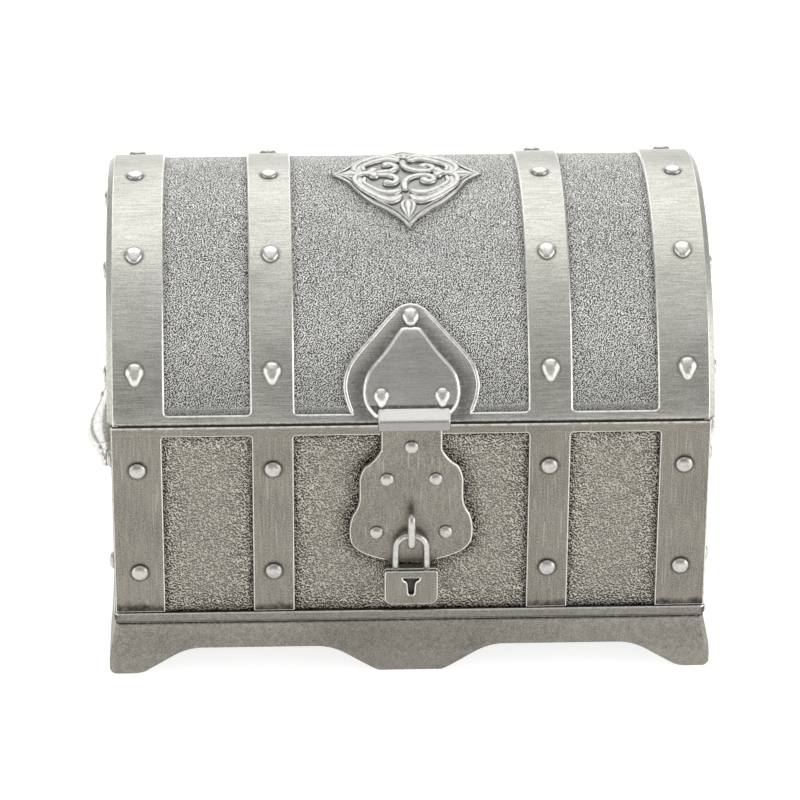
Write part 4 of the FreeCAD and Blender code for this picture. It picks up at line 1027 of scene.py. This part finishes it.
# The two rims as shares of the outline with their radii, and the buds' turns with their reach
MEDALLION_RIMS, BUD_TURNS = ((0.97, 0.26), (0.885, 0.2)), ((0, 1.0), (90, 0.9), (180, 1.0), (270, 0.9))
# Heights of the scrolls, the bands and the buds over the field, the bands' radius and a bud's least one
SCROLL_Z, BAND_Z, BUD_Z, BAND_R, BUD_TIP = 0.12, -0.3, 0.05, 0.62, 0.05
# The field's thickness, edge and height over the shell, how the scrolls are flattened, their rise, and
# the medallion's wrapping steps
FIELD_THICK, FIELD_ROUND, FIELD_LIFT, SCROLL_FLAT, SCROLL_RISE = 0.5, 0.15, 0.2, 0.85, 0.6
MEDALLION_WRAP = 0.8


def make_medallion():
    """A pointed plate with a beaded rim, curling leaves and a bud at each tip."""
    base = plate("medallion_field", [medallion_outline()], FIELD_THICK, FIELD_ROUND, (MEDALLION_CAST,))
    trims = []
    for share, width in MEDALLION_RIMS:
        line = [(x, y, 0, width) for x, y in medallion_outline(share)]
        trims.append(bar("medallion_rim", line + line[:1], (MEDALLION_CAST,), 2))
    paths = []
    for path in (LEAF_RIGHT, VEIN_RIGHT, CURL_RIGHT, LEAF_LEFT, VEIN_LEFT, CURL_LEFT):
        paths += [[(u, sign * v, SCROLL_Z, r) for u, v, r in flowing(path, 5)] for sign in (-1, 1)]
    # A flat band fills the groove between each leaf's two ridges
    for leaf, vein in ((LEAF_RIGHT, VEIN_RIGHT), (LEAF_LEFT, VEIN_LEFT)):
        middle = [((a[0] + b[0]) / 2, (a[1] + b[1]) / 2, BAND_R) for a, b in zip(leaf[3:10], vein)]
        paths += [[(u, sign * v, BAND_Z, r) for u, v, r in flowing(middle, 5)] for sign in (-1, 1)]
    for turn, reach in BUD_TURNS:
        across, ahead = math.sin(math.radians(turn)), -math.cos(math.radians(turn))
        for path, sign in ((BUD, 1), (BUD_SIDE, 1), (BUD_SIDE, -1)):
            paths.append([(v * reach * across - sign * u * ahead, v * reach * ahead + sign * u * across,
                           BUD_Z, max(r, BUD_TIP)) for u, v, r in flowing(path, 4)])
    seat = Matrix.Translation((MEDALLION_X, TURN / 2, 0)) @ Matrix.Scale(SCROLL_FLAT, 4, (0, 0, 1))
    for path in paths:
        trim = bar("medallion_scroll", blunted(path), (MEDALLION_CAST,), 3)
        trim.data.transform(seat)
        trims.append(trim)
    whole = joined("medallion_dressed", [base] + trims)
    marked(whole, "rise", lambda co: max(0.0, co.z / SCROLL_RISE))
    sliced(whole, MEDALLION_WRAP)
    over_barrel(whole, SHELL_R + FIELD_LIFT - BARREL_R)
    finished(whole, "lid", "medallion_metal", "medallion", smooth=45, weighted=False)


# Box

# The lock plate's face, foot, half width, height, thickness and edge
LOCK_Y, LOCK_FOOT, LOCK_HALF, LOCK_RISE = PANEL_Y + 0.9, 17.0, 8.5, 21.6
LOCK_THICK, LOCK_ROUND = 0.95, 0.26
# Its right half from the top, in shares: a single point is reached straight, a pair by an arc through both
LOCK_SHARES = (((0.494, 1),), ((0.494, 0.815),), ((0.60, 0.746), (0.741, 0.699)),
               ((0.812, 0.645), (0.838, 0.56)), ((0.838, 0.475),), ((0.865, 0.41), (0.941, 0.352)),
               ((1, 0.235), (0.976, 0.148)), ((0.90, 0.103), (0.718, 0.056)), ((0.38, 0.012), (0, 0)))
# Edges of it that lean further left than this are in shade and stay plain
LOCK_SHADED = -0.25
# The staple's two levels, its reach from the plate, its depth in it, its bends with the share by which
# their middles lie in from the corner, and its radius
STAPLE_LOW, STAPLE_HIGH, STAPLE_REACH, STAPLE_SUNK = 20.7, 25.25, 2.3, 0.4
STAPLE_BEND, BEND_INSET, STAPLE_R = 0.8, 0.3, 0.57


def lock_outline():
    half = []
    for step in LOCK_SHARES:
        spots = [(x * LOCK_HALF, LOCK_FOOT + y * LOCK_RISE) for x, y in step]
        half += spots if len(spots) == 1 else arc(half[-1], *spots, 6)
    return both_sides(half[::-1])


def make_lock_plate():
    sheet = plate("lock_plate_dressed", [lock_outline()], LOCK_THICK, LOCK_ROUND, (LOCK_SATIN, BOX_EDGE), 3)
    for face in sheet.data.polygons:
        if face.normal.x < LOCK_SHADED:
            face.material_index = 0
    finished(stood(sheet, FRONT, LOCK_Y), "box", "lock_plate_metal", "lock_plate")
    low, high, out, turn = STAPLE_LOW, STAPLE_HIGH, LOCK_Y + STAPLE_REACH, STAPLE_BEND
    seat, near, inset = LOCK_Y - STAPLE_SUNK, out - turn, BEND_INSET * turn
    line = [(seat, high), (near, high)]
    line += arc((near, high), (out - inset, high - inset), (out, high - turn), 6) + [(out, low + turn)]
    line += arc((out, low + turn), (out - inset, low + inset), (near, low), 6) + [(seat, low)]
    staple = bar("staple_dressed", [(0, -y, z, STAPLE_R) for y, z in line], (WIRE_BRIGHT,))
    finished(staple, "box", "wire_metal", "staple", **SOFT)


# The front panel's faces across and up, and the reach and end of the tarnish and painted shadow round the
# lock plate
PANEL_FACES, LOCK_TARNISH_AND_SHADOW, LOCK_TARNISH_AND_SHADOW_X = (150, 55), 2.4, 12


def make_panels():
    low, high = corners("front_panel")
    panel = grid(*PANEL_FACES, PANEL_X, (high[2] - low[2]) / 2, (0, (high[2] + low[2]) / 2, 0))
    bell = lock_outline()

    def tarnish_and_shade(spot):
        if abs(spot.x) >= LOCK_TARNISH_AND_SHADOW_X:
            return 0.0
        return max(0.0, 1 - nearest(spot, bell) / LOCK_TARNISH_AND_SHADOW) ** 1.4

    marked(panel, "tarnish_and_shade", tarnish_and_shade)
    apply_modifier(panel, "SOLIDIFY", thickness=high[1] - low[1], offset=-1)
    stood(panel, FRONT, PANEL_Y)
    clean(panel)
    dress(panel, (BOX_GRAIN,))
    finished(joined("front_panel_dressed", [panel]), "box", "box_grain", "front_panel", weighted=False)
    for node in ("rear_panel", "left_panel", "right_panel"):
        dress(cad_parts[node], (BOX_GRAIN,))


# Half length of a tool that cuts through the whole box, and how far others go beyond what they cut
TOOL_HALF, BEYOND = 50, 5


def through(name, loop, side):
    """A tool with an outline that cuts through the box from one side."""
    return stood(plate(name, [loop], 2 * TOOL_HALF, 0, ()), side, TOOL_HALF)


# The box strapwork's window corners and edges
BOX_WINDOW_ROUND, BOX_STRAP_ROUND = 0.4, 0.2
# Edges of it this near the top stay plain; those that lean so far left at the front, or so far down, stay
# plain too, as painted shade, so that the bright edges read as lit from the right
PLAIN_TOP, PLAIN_LEFT, PLAIN_LEAN = 0.3, (-0.9, -0.3), -0.3


def make_box_strapwork():
    straps = block("box_strapwork_dressed", BOX_LOW, BOX_HIGH, (BOX_STRAP, BOX_EDGE))
    low, high = BOX_LOW[2] - BEYOND, BOX_HIGH[2] - BOX_RAIL
    cut_by(straps, block("hollow", (-PANEL_X, -PANEL_Y, low), (PANEL_X, PANEL_Y, BOX_HIGH[2] + BEYOND), ()))
    inner, beside = STRAP_PLACE - INNER_STRAP / 2, STRAP_PLACE + INNER_STRAP / 2
    outer, end = BOX_HIGH[0] - CORNER_STRAP, BOX_HIGH[1] - CORNER_STRAP
    for side, left, right in ((FRONT, -outer, -beside), (FRONT, -inner, inner), (FRONT, beside, outer),
                              (RIGHT, -end, end)):
        cut_by(straps, through("window", framed(left, right, low, high, 0, BOX_WINDOW_ROUND, 5), side))
    clean(straps)
    bevelled(straps, BOX_STRAP_ROUND, 3, material=1, use_clamp_overlap=False)
    # The bright edges are partly painted highlights; the left-leaning and downward ones stay plain as painted
    # shade
    for face in straps.data.polygons:
        on_top = face.center.z > BOX_HIGH[2] - PLAIN_TOP
        front_left = PLAIN_LEFT[0] < face.normal.x < PLAIN_LEFT[1] and face.normal.y < PLAIN_LEAN
        if on_top or front_left or face.normal.z < PLAIN_LEAN:
            face.material_index = 0
    finished(straps, "box", "box_strap_metal", "box_strapwork")


# The moulding's corners and edges, and the slopes between which it is bright
MOULDING_CORNER, MOULDING_ROUND, MOULDING_BRIGHT = 1.0, 0.42, (0.35, 0.8)


def make_moulding():
    x, y = MOULDING_HIGH[:2]
    loop = framed(-x, x, -y, y, MOULDING_CORNER, MOULDING_CORNER)
    strip = plate("floor_plate_dressed", [loop], MOULDING_HIGH[2] - MOULDING_LOW[2], MOULDING_ROUND,
                  (MOULDING_SATIN, BOX_EDGE), 4)
    strip.data.transform(Matrix.Translation((0, 0, MOULDING_HIGH[2])))
    for face in strip.data.polygons:
        face.material_index = int(MOULDING_BRIGHT[0] < face.normal.z < MOULDING_BRIGHT[1])
    finished(strip, "box", "moulding_metal", "floor_plate")


# The plinth's section in shares of its height and flare, its corners, walls and edges
PLINTH_LEVELS = ((0.0, 0.8), (0.06, 1.0), (0.22, 1.0), (0.4, 0.9), (0.58, 0.62), (0.74, 0.32), (0.88, 0.1),
                 (1.0, 0.0))
PLINTH_CORNER, PLINTH_WALL, PLINTH_ROUND = 0.9, 2.2, 0.22
# The arches' rise, slope and shoulders
ARCH_RISE, ARCH_SLOPE, ARCH_ROUND = 3.95, math.radians(37), 8
# Rounding of the arches' toes at the corner feet and at the centre foot, their run-out and their drop
CORNER_TOE, CENTRE_TOE, TOE_RUN, TOE_DROP = 4.0, 0.8, 1.2, 0.02
# The arches of the front and of the sides as (left end, right end, left toe, right toe)
FRONT_ARCHES = ((-36.2, -5.5, CORNER_TOE, CENTRE_TOE), (5.5, 36.2, CENTRE_TOE, CORNER_TOE))
END_ARCHES = ((-25.4, 25.4, CORNER_TOE, CORNER_TOE),)
# How far an arch's tool goes past its ends and under the ground
ARCH_PAST, ARCH_UNDER = 4, 3


def make_plinth():
    """A flared skirt with bracket feet, cut out by low arches."""
    x, y, tall = BOX_HIGH[0], BOX_HIGH[1], PLINTH_HIGH[2]
    flare = PLINTH_HIGH[0] - x
    bpy.ops.object.select_all(action="DESELECT")
    bpy.ops.mesh.primitive_plane_add(size=2)
    skirt = bpy.context.object
    skirt.scale = (x + flare * PLINTH_LEVELS[0][1], y + flare * PLINTH_LEVELS[0][1], 1)
    bpy.ops.object.transform_apply(location=True, rotation=True, scale=True)
    open_mesh(skirt)
    bpy.ops.mesh.bevel(offset=PLINTH_CORNER, segments=5, affect="VERTICES")
    bpy.ops.mesh.select_all(action="SELECT")
    for (low, narrow), (high, wide) in zip(PLINTH_LEVELS, PLINTH_LEVELS[1:]):
        bpy.ops.mesh.extrude_region_move(TRANSFORM_OT_translate={"value": (0, 0, (high - low) * tall)})
        bpy.ops.transform.resize(value=((x + flare * wide) / (x + flare * narrow),
                                        (y + flare * wide) / (y + flare * narrow), 1),
                                 center_override=(0, 0, 0))
    close_mesh()
    clean(skirt)
    cut_by(skirt, block("hollow", (PLINTH_WALL - x, PLINTH_WALL - y, -BEYOND),
                        (x - PLINTH_WALL, y - PLINTH_WALL, tall + BEYOND), ()))
    run = ARCH_RISE / math.tan(ARCH_SLOPE)
    for side, arches in ((FRONT, FRONT_ARCHES), (RIGHT, END_ARCHES)):
        for left, right, left_toe, right_toe in arches:
            loop = rounded([(left - ARCH_PAST, -ARCH_UNDER, 0), (right + ARCH_PAST, -ARCH_UNDER, 0),
                            (right + ARCH_PAST, -TOE_DROP, 0), (right + TOE_RUN, -TOE_DROP, right_toe),
                            (right - run, ARCH_RISE, ARCH_ROUND), (left + run, ARCH_RISE, ARCH_ROUND),
                            (left - TOE_RUN, -TOE_DROP, left_toe), (left - ARCH_PAST, -TOE_DROP, 0)], 8)
            cut_by(skirt, through("arch", loop, side))
    clean(skirt)
    dress(skirt, (PLINTH_SATIN, BOX_EDGE))
    bevelled(skirt, PLINTH_ROUND, 2, material=1, use_clamp_overlap=True)
    finished(joined("plinth_dressed", [skirt]), "box", "plinth_metal", "plinth")


# The padlock's lower and upper corners, its edges, and the thickness of its front and back
PADLOCK_FOOT, PADLOCK_TOP, PADLOCK_ROUND, PADLOCK_FRONT, PADLOCK_BACK = 1.2, 0.4, 0.3, 0.9, 1.5
# How deep the back and the keyhole's floor start, and the floor's thickness and extra width; the floor is a
# dark sheet of painted shade
BACK_DEPTH, KEYHOLE_DEPTH, KEYHOLE_FLOOR, KEYHOLE_SPREAD = 0.8, 0.74, 0.1, 1.25
# The keyhole's right half from its top, in shares of the padlock's half width and height
KEYHOLE_SHARES = ((0.3, 0.78), (0.28, 0.73), (0.18, 0.69), (0.125, 0.62), (0.1, 0.34), (0.05, 0.3),
                  (0.0, 0.3))
# The shackle's radius, half span and top, and its right half from the foot
SHACKLE_R, SHACKLE_X, SHACKLE_Z = 0.48, 2.125, 21.845
SHACKLE_HALF = ((SHACKLE_X, 15.6), (SHACKLE_X, 18.0), (SHACKLE_X * 0.98, SHACKLE_Z - 2.0),
                (2.0, SHACKLE_Z - 1.35), (1.55, SHACKLE_Z - 0.6), (0.85, SHACKLE_Z - 0.12), (0, SHACKLE_Z))


def make_padlock():
    low, high = corners("padlock_body")
    half, rise, face = high[0], high[2] - low[2], -low[1]
    body = framed(-half, half, low[2], high[2], PADLOCK_FOOT, PADLOCK_TOP)
    keyhole = both_sides([(x * half, low[2] + y * rise) for x, y in reversed(KEYHOLE_SHARES)])
    finishes = (PADLOCK_SATIN, BOX_EDGE)
    front = plate("padlock_front", [body, keyhole], PADLOCK_FRONT, PADLOCK_ROUND, finishes, 4)
    back = plate("padlock_back", [body], PADLOCK_BACK, PADLOCK_ROUND, finishes, 4)
    wider = [(x * KEYHOLE_SPREAD, z) for x, z in keyhole]
    dark = plate("keyhole_shade_floor", [wider], KEYHOLE_FLOOR, 0.0, (KEYHOLE_PAINTED_SHADE,))
    for piece, depth in ((front, 0), (back, BACK_DEPTH), (dark, KEYHOLE_DEPTH)):
        stood(piece, FRONT, face - depth)
    finished(joined("padlock_body_dressed", [front, back, dark]), "padlock", "padlock_metal", "padlock_body")
    middle = (low[1] + high[1]) / 2
    path = flowing([(x, middle, z, SHACKLE_R) for x, z in SHACKLE_HALF], 4)
    path += [(-x, y, z, r) for x, y, z, r in reversed(path[:-1])]
    shackle = bar("padlock_shackle_dressed", path, (WIRE_BRIGHT,))
    finished(shackle, "padlock", "wire_metal", "padlock_shackle", **SOFT)


# A bow's half span, height, distance from the wall, reach and tilt, and the steps from its middle to an end
HANDLE_SPAN, HANDLE_Z, BOW_OFF, BOW_REACH, BOW_TILT = 11, 23.4, 1.8, 2.2, math.radians(55)
BOW_STEPS = 24
# Its radius at the ends and the middle, how much deeper its back is, and its collars' shares and swelling
BOW_THIN, BOW_THICK, BOW_BACK, COLLAR, COLLAR_SWELL = 0.7, 1.7, 1.6, (0.70, 0.79), 0.25
# A post's section as (radius, distance from the wall)
POST_LINE = ((1.5, 0), (1.5, 0.3), (1.32, 0.55), (0.95, 0.75), (0.85, 1.0), (0.95, 1.25), (1.15, 1.6),
             (1.2, 1.95), (1.05, 2.3), (0.7, 2.52), (0, 2.6))


def make_handles():
    """Cast bows that swell to their middles, each between two turned posts."""
    for name, side, sign in (("handle_left", LEFT, -1), ("handle_right", RIGHT, 1)):
        line = []
        for k in range(2 * BOW_STEPS + 1):
            share = -1 + k / BOW_STEPS
            swell = 1 - share * share
            sag = BOW_REACH * swell ** 2
            collar = COLLAR_SWELL if COLLAR[0] < abs(share) < COLLAR[1] else 0.0
            line.append((sign * (PANEL_X + BOW_OFF + sag * math.cos(BOW_TILT)), HANDLE_SPAN * share,
                         HANDLE_Z - sag * math.sin(BOW_TILT),
                         BOW_THIN + (BOW_THICK - BOW_THIN) * swell ** 3 + collar))
        bow = bar(name, line, (HANDLE_BRIGHT,), 6)
        # The back of the bow is deeper than its front, and nearly reaches the wall
        for vertex in bow.data.vertices:
            swell = max(0.0, 1 - (vertex.co.y / HANDLE_SPAN) ** 2)
            middle = sign * (PANEL_X + BOW_OFF + BOW_REACH * swell ** 2 * math.cos(BOW_TILT))
            if sign * (vertex.co.x - middle) < 0:
                vertex.co.x = middle + BOW_BACK * (vertex.co.x - middle)
        pieces = [bow]
        for y in (-HANDLE_SPAN, HANDLE_SPAN):
            post = turned("post", POST_LINE, 24, (HANDLE_BRIGHT,))
            post.data.transform(side @ Matrix.Translation((sign * y, HANDLE_Z, PANEL_X)))
            pieces.append(post)
        finished(joined(name + "_dressed", pieces), "box", "handle_metal", name, smooth=45, weighted=False)


# The hinge's edges and leaf thickness, and its rivets' size, spread and distances from the leaves' edges
HINGE_ROUND, LEAF_THICK = 0.12, 0.6
RIVET_SIZE, RIVET_SPREAD, BOX_RIVET, LID_RIVET = (1.5, 0.3), 0.74, 1.5, 1.9
# Degrees up to which its faces count as one, and from which its edges are rounded
FLAT_DEGREES, EDGE_DEGREES = 2, 40


def softened(node, body, seats):
    """A copy of a plain packed hinge solid with its edges rounded and rivets on their seats."""
    piece = linked(node + "_dressed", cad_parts[node].data.copy())
    piece.data.transform(Matrix.Scale(1 / MM, 4))
    clean(piece)
    open_mesh(piece)
    bpy.ops.mesh.dissolve_limited(angle_limit=math.radians(FLAT_DEGREES))
    close_mesh()
    dress(piece, (HINGE_SATIN, BOX_EDGE))
    bevelled(piece, HINGE_ROUND, 2, EDGE_DEGREES, material=1, use_clamp_overlap=True)
    rivets = []
    for seat in seats:
        rivet = dome("rivet", *RIVET_SIZE, (BOX_STUD,))
        rivet.data.transform(seat)
        rivets.append(rivet)
    finished(joined(node + "_dressed", [piece] + rivets), body, "hinge_metal", node)


def make_hinge():
    low, high = corners("hinge_leaf_box")
    leaf_y, leaf_z, leaf_r = BOX_HIGH[1] + LEAF_THICK, low[2] + BOX_RIVET, BARREL_R + LEAF_THICK
    places = (-RIVET_SPREAD * high[0], 0.0, RIVET_SPREAD * high[0])
    softened("hinge_leaf_box", "box", [REAR @ Matrix.Translation((x, leaf_z, leaf_y)) for x in places])
    up = math.degrees(math.asin((corners("hinge_leaf_lid")[1][2] - LID_RIVET - BARREL_Z) / leaf_r))
    softened("hinge_leaf_lid", "lid", [on_barrel(x, 180 - up, leaf_r) for x in places])
    softened("hinge_pin", "box", [])


# Thickness of the card, and faces across and along of the floor and of the lid's arch
CARD, FLOOR_FACES, ARCH_FACES = 0.8, (56, 40), (40, 64)
# How far the floor's velvet drops at its edge, how steeply, and how much it ripples
FLOOR_DROP, FLOOR_STEEP, FLOOR_RIPPLE = 0.45, 14, 0.04
# Rounding of the wall, the arch and the ends
WALL_ROUND, ARCH_LINER_ROUND, END_LINER_ROUND = 0.3, 0.25, 0.25


def make_liners():
    """Velvet on thin card, with soft edges: a floor, a wall ring, the lid's arch and its two ends."""
    velvet_only = (WINE_VELVET,)
    low, high = corners("floor_liner")
    floor = grid(*FLOOR_FACES, high[0], high[1], (0, 0, high[2]))
    for vertex in floor.data.vertices:
        u, v = vertex.co.x / high[0], vertex.co.y / high[1]
        ripple = FLOOR_RIPPLE * (1 + math.sin(5 * u + 2 * v) * math.sin(4 * v - u))
        vertex.co.z -= FLOOR_DROP * max(abs(u), abs(v)) ** FLOOR_STEEP + ripple
    open_mesh(floor)
    bpy.ops.mesh.extrude_region_move(TRANSFORM_OT_translate={"value": (0, 0, low[2] - high[2])})
    bpy.ops.transform.resize(value=(1, 1, 0), center_override=(0, 0, low[2]))
    close_mesh()
    clean(floor)
    dress(floor, velvet_only)
    finished(joined("floor_liner_dressed", [floor]), "box", "velvet", "floor_liner", weighted=False)

    low, high = corners("wall_liner")
    wall = block("wall_liner_dressed", low, high, velvet_only)
    cut_by(wall, block("hollow", (low[0] + CARD, low[1] + CARD, low[2] - BEYOND),
                       (high[0] - CARD, high[1] - CARD, high[2] + BEYOND), ()))
    bevelled(wall, WALL_ROUND, 3)
    clean(wall)
    finished(wall, "box", "velvet", "wall_liner")

    low, high = corners("lid_liner")
    radius = high[2] - BARREL_Z
    arch = grid(*ARCH_FACES, high[0], TURN / 2 - up_barrel(low[2], radius), (0, TURN / 2, 0))
    apply_modifier(arch, "SOLIDIFY", thickness=CARD, offset=-1)
    over_barrel(arch, radius - BARREL_R)
    clean(arch)
    bevelled(arch, ARCH_LINER_ROUND, 2)
    dress(arch, velvet_only)
    finished(joined("lid_liner_dressed", [arch]), "lid", "velvet", "lid_liner", weighted=False)

    low, high = corners("lid_end_liners")
    outline = end_arch(high[2] - BARREL_Z, low[2], 48)
    ends = [stood(plate("end_liner", [outline], CARD, END_LINER_ROUND, velvet_only, 3), side, high[0])
            for side in (RIGHT, LEFT)]
    finished(joined("lid_end_liners_dressed", ends), "lid", "velvet", "lid_end_liners")


make_lid_strapwork()
make_lid_shell()
make_hasp()
make_medallion()
make_lock_plate()
make_panels()
make_box_strapwork()
make_moulding()
make_plinth()
make_padlock()
make_handles()
make_studs()
make_hinge()
make_liners()
for end_node in ("lid_end_left", "lid_end_right"):
    dress(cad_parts[end_node], (LID_GRAIN,))


# Studio

# The table's size in metres, and its paper's tone and glow
TABLE_SIZE, PAPER, PAPER_GLOW, WHITE = 8, (0.5, 0.5, 0.5, 1), 0.82, (1, 1, 1, 1)


def make_floor():
    """A lit white table, so that the ground under the arches stays pale."""
    bpy.ops.object.select_all(action="DESELECT")
    bpy.ops.mesh.primitive_plane_add(size=TABLE_SIZE)
    floor = bpy.context.object
    floor.name = "studio_floor"
    paper = Finish("studio_paper", {"Base Color": PAPER, "Emission Color": WHITE,
                                    "Emission Strength": PAPER_GLOW})
    paper.feed("Roughness", 0.85 + 0.1 * paper.noise(0.05))
    dress(floor, (paper.material,))


# Lights as (name, place, size, power), in metres and watts, the spot they face, and the air's brightness
LIGHTS = (("behind_above", (0, 0.56, 0.68), (1.2, 1.3), 4.7),
          ("front_above", (0, -0.2, 0.95), (1.2, 0.9), 1.2),
          ("left", (-0.85, -0.3, 0.27), (0.9, 0.5), 1.3),
          ("right", (0.85, -0.3, 0.27), (0.9, 0.5), 2.5))
LIT_SPOT, AIR = (0, 0, 0.03), 0.47
# The camera fitted to the photo: focal length and picture in pixels, sensor, place, and its forward and up
FOCAL, PICTURE, SENSOR = 4346, 800, 36
CAMERA_PLACE, CAMERA_AHEAD = (-22.05, -544.62, 317.27), (0.03502, 0.88130, -0.47126)
CAMERA_UP = (0.01265, 0.47113, 0.88197)


def soft_light(name, spot, size, power):
    data = bpy.data.lights.new(name, "AREA")
    data.shape = "RECTANGLE"
    data.size, data.size_y = size
    data.energy = power
    light = linked(name, data)
    light.location = spot
    light.rotation_euler = (Vector(LIT_SPOT) - Vector(spot)).to_track_quat("-Z", "Y").to_euler()


def make_studio():
    make_floor()
    world = bpy.data.worlds.new("studio_air")
    bpy.context.scene.world = world
    world.use_nodes = True
    backdrop = world.node_tree.nodes["Background"]
    backdrop.inputs["Color"].default_value = WHITE
    backdrop.inputs["Strength"].default_value = AIR
    for name, spot, size, power in LIGHTS:
        soft_light(name, spot, size, power)
    camera = bpy.data.cameras.new("photo_camera")
    camera.sensor_width = SENSOR
    camera.lens = FOCAL / PICTURE * SENSOR
    holder = linked("photo_camera", camera)
    ahead = Vector(CAMERA_AHEAD).normalized()
    right = ahead.cross(Vector(CAMERA_UP)).normalized()
    up = right.cross(ahead)
    turn = Matrix((right, up, -ahead)).transposed().to_4x4()
    holder.matrix_world = Matrix.Translation(Vector(CAMERA_PLACE) * MM) @ turn
    bpy.context.scene.camera = holder
    bpy.context.scene.view_settings.view_transform = "Standard"


make_studio()
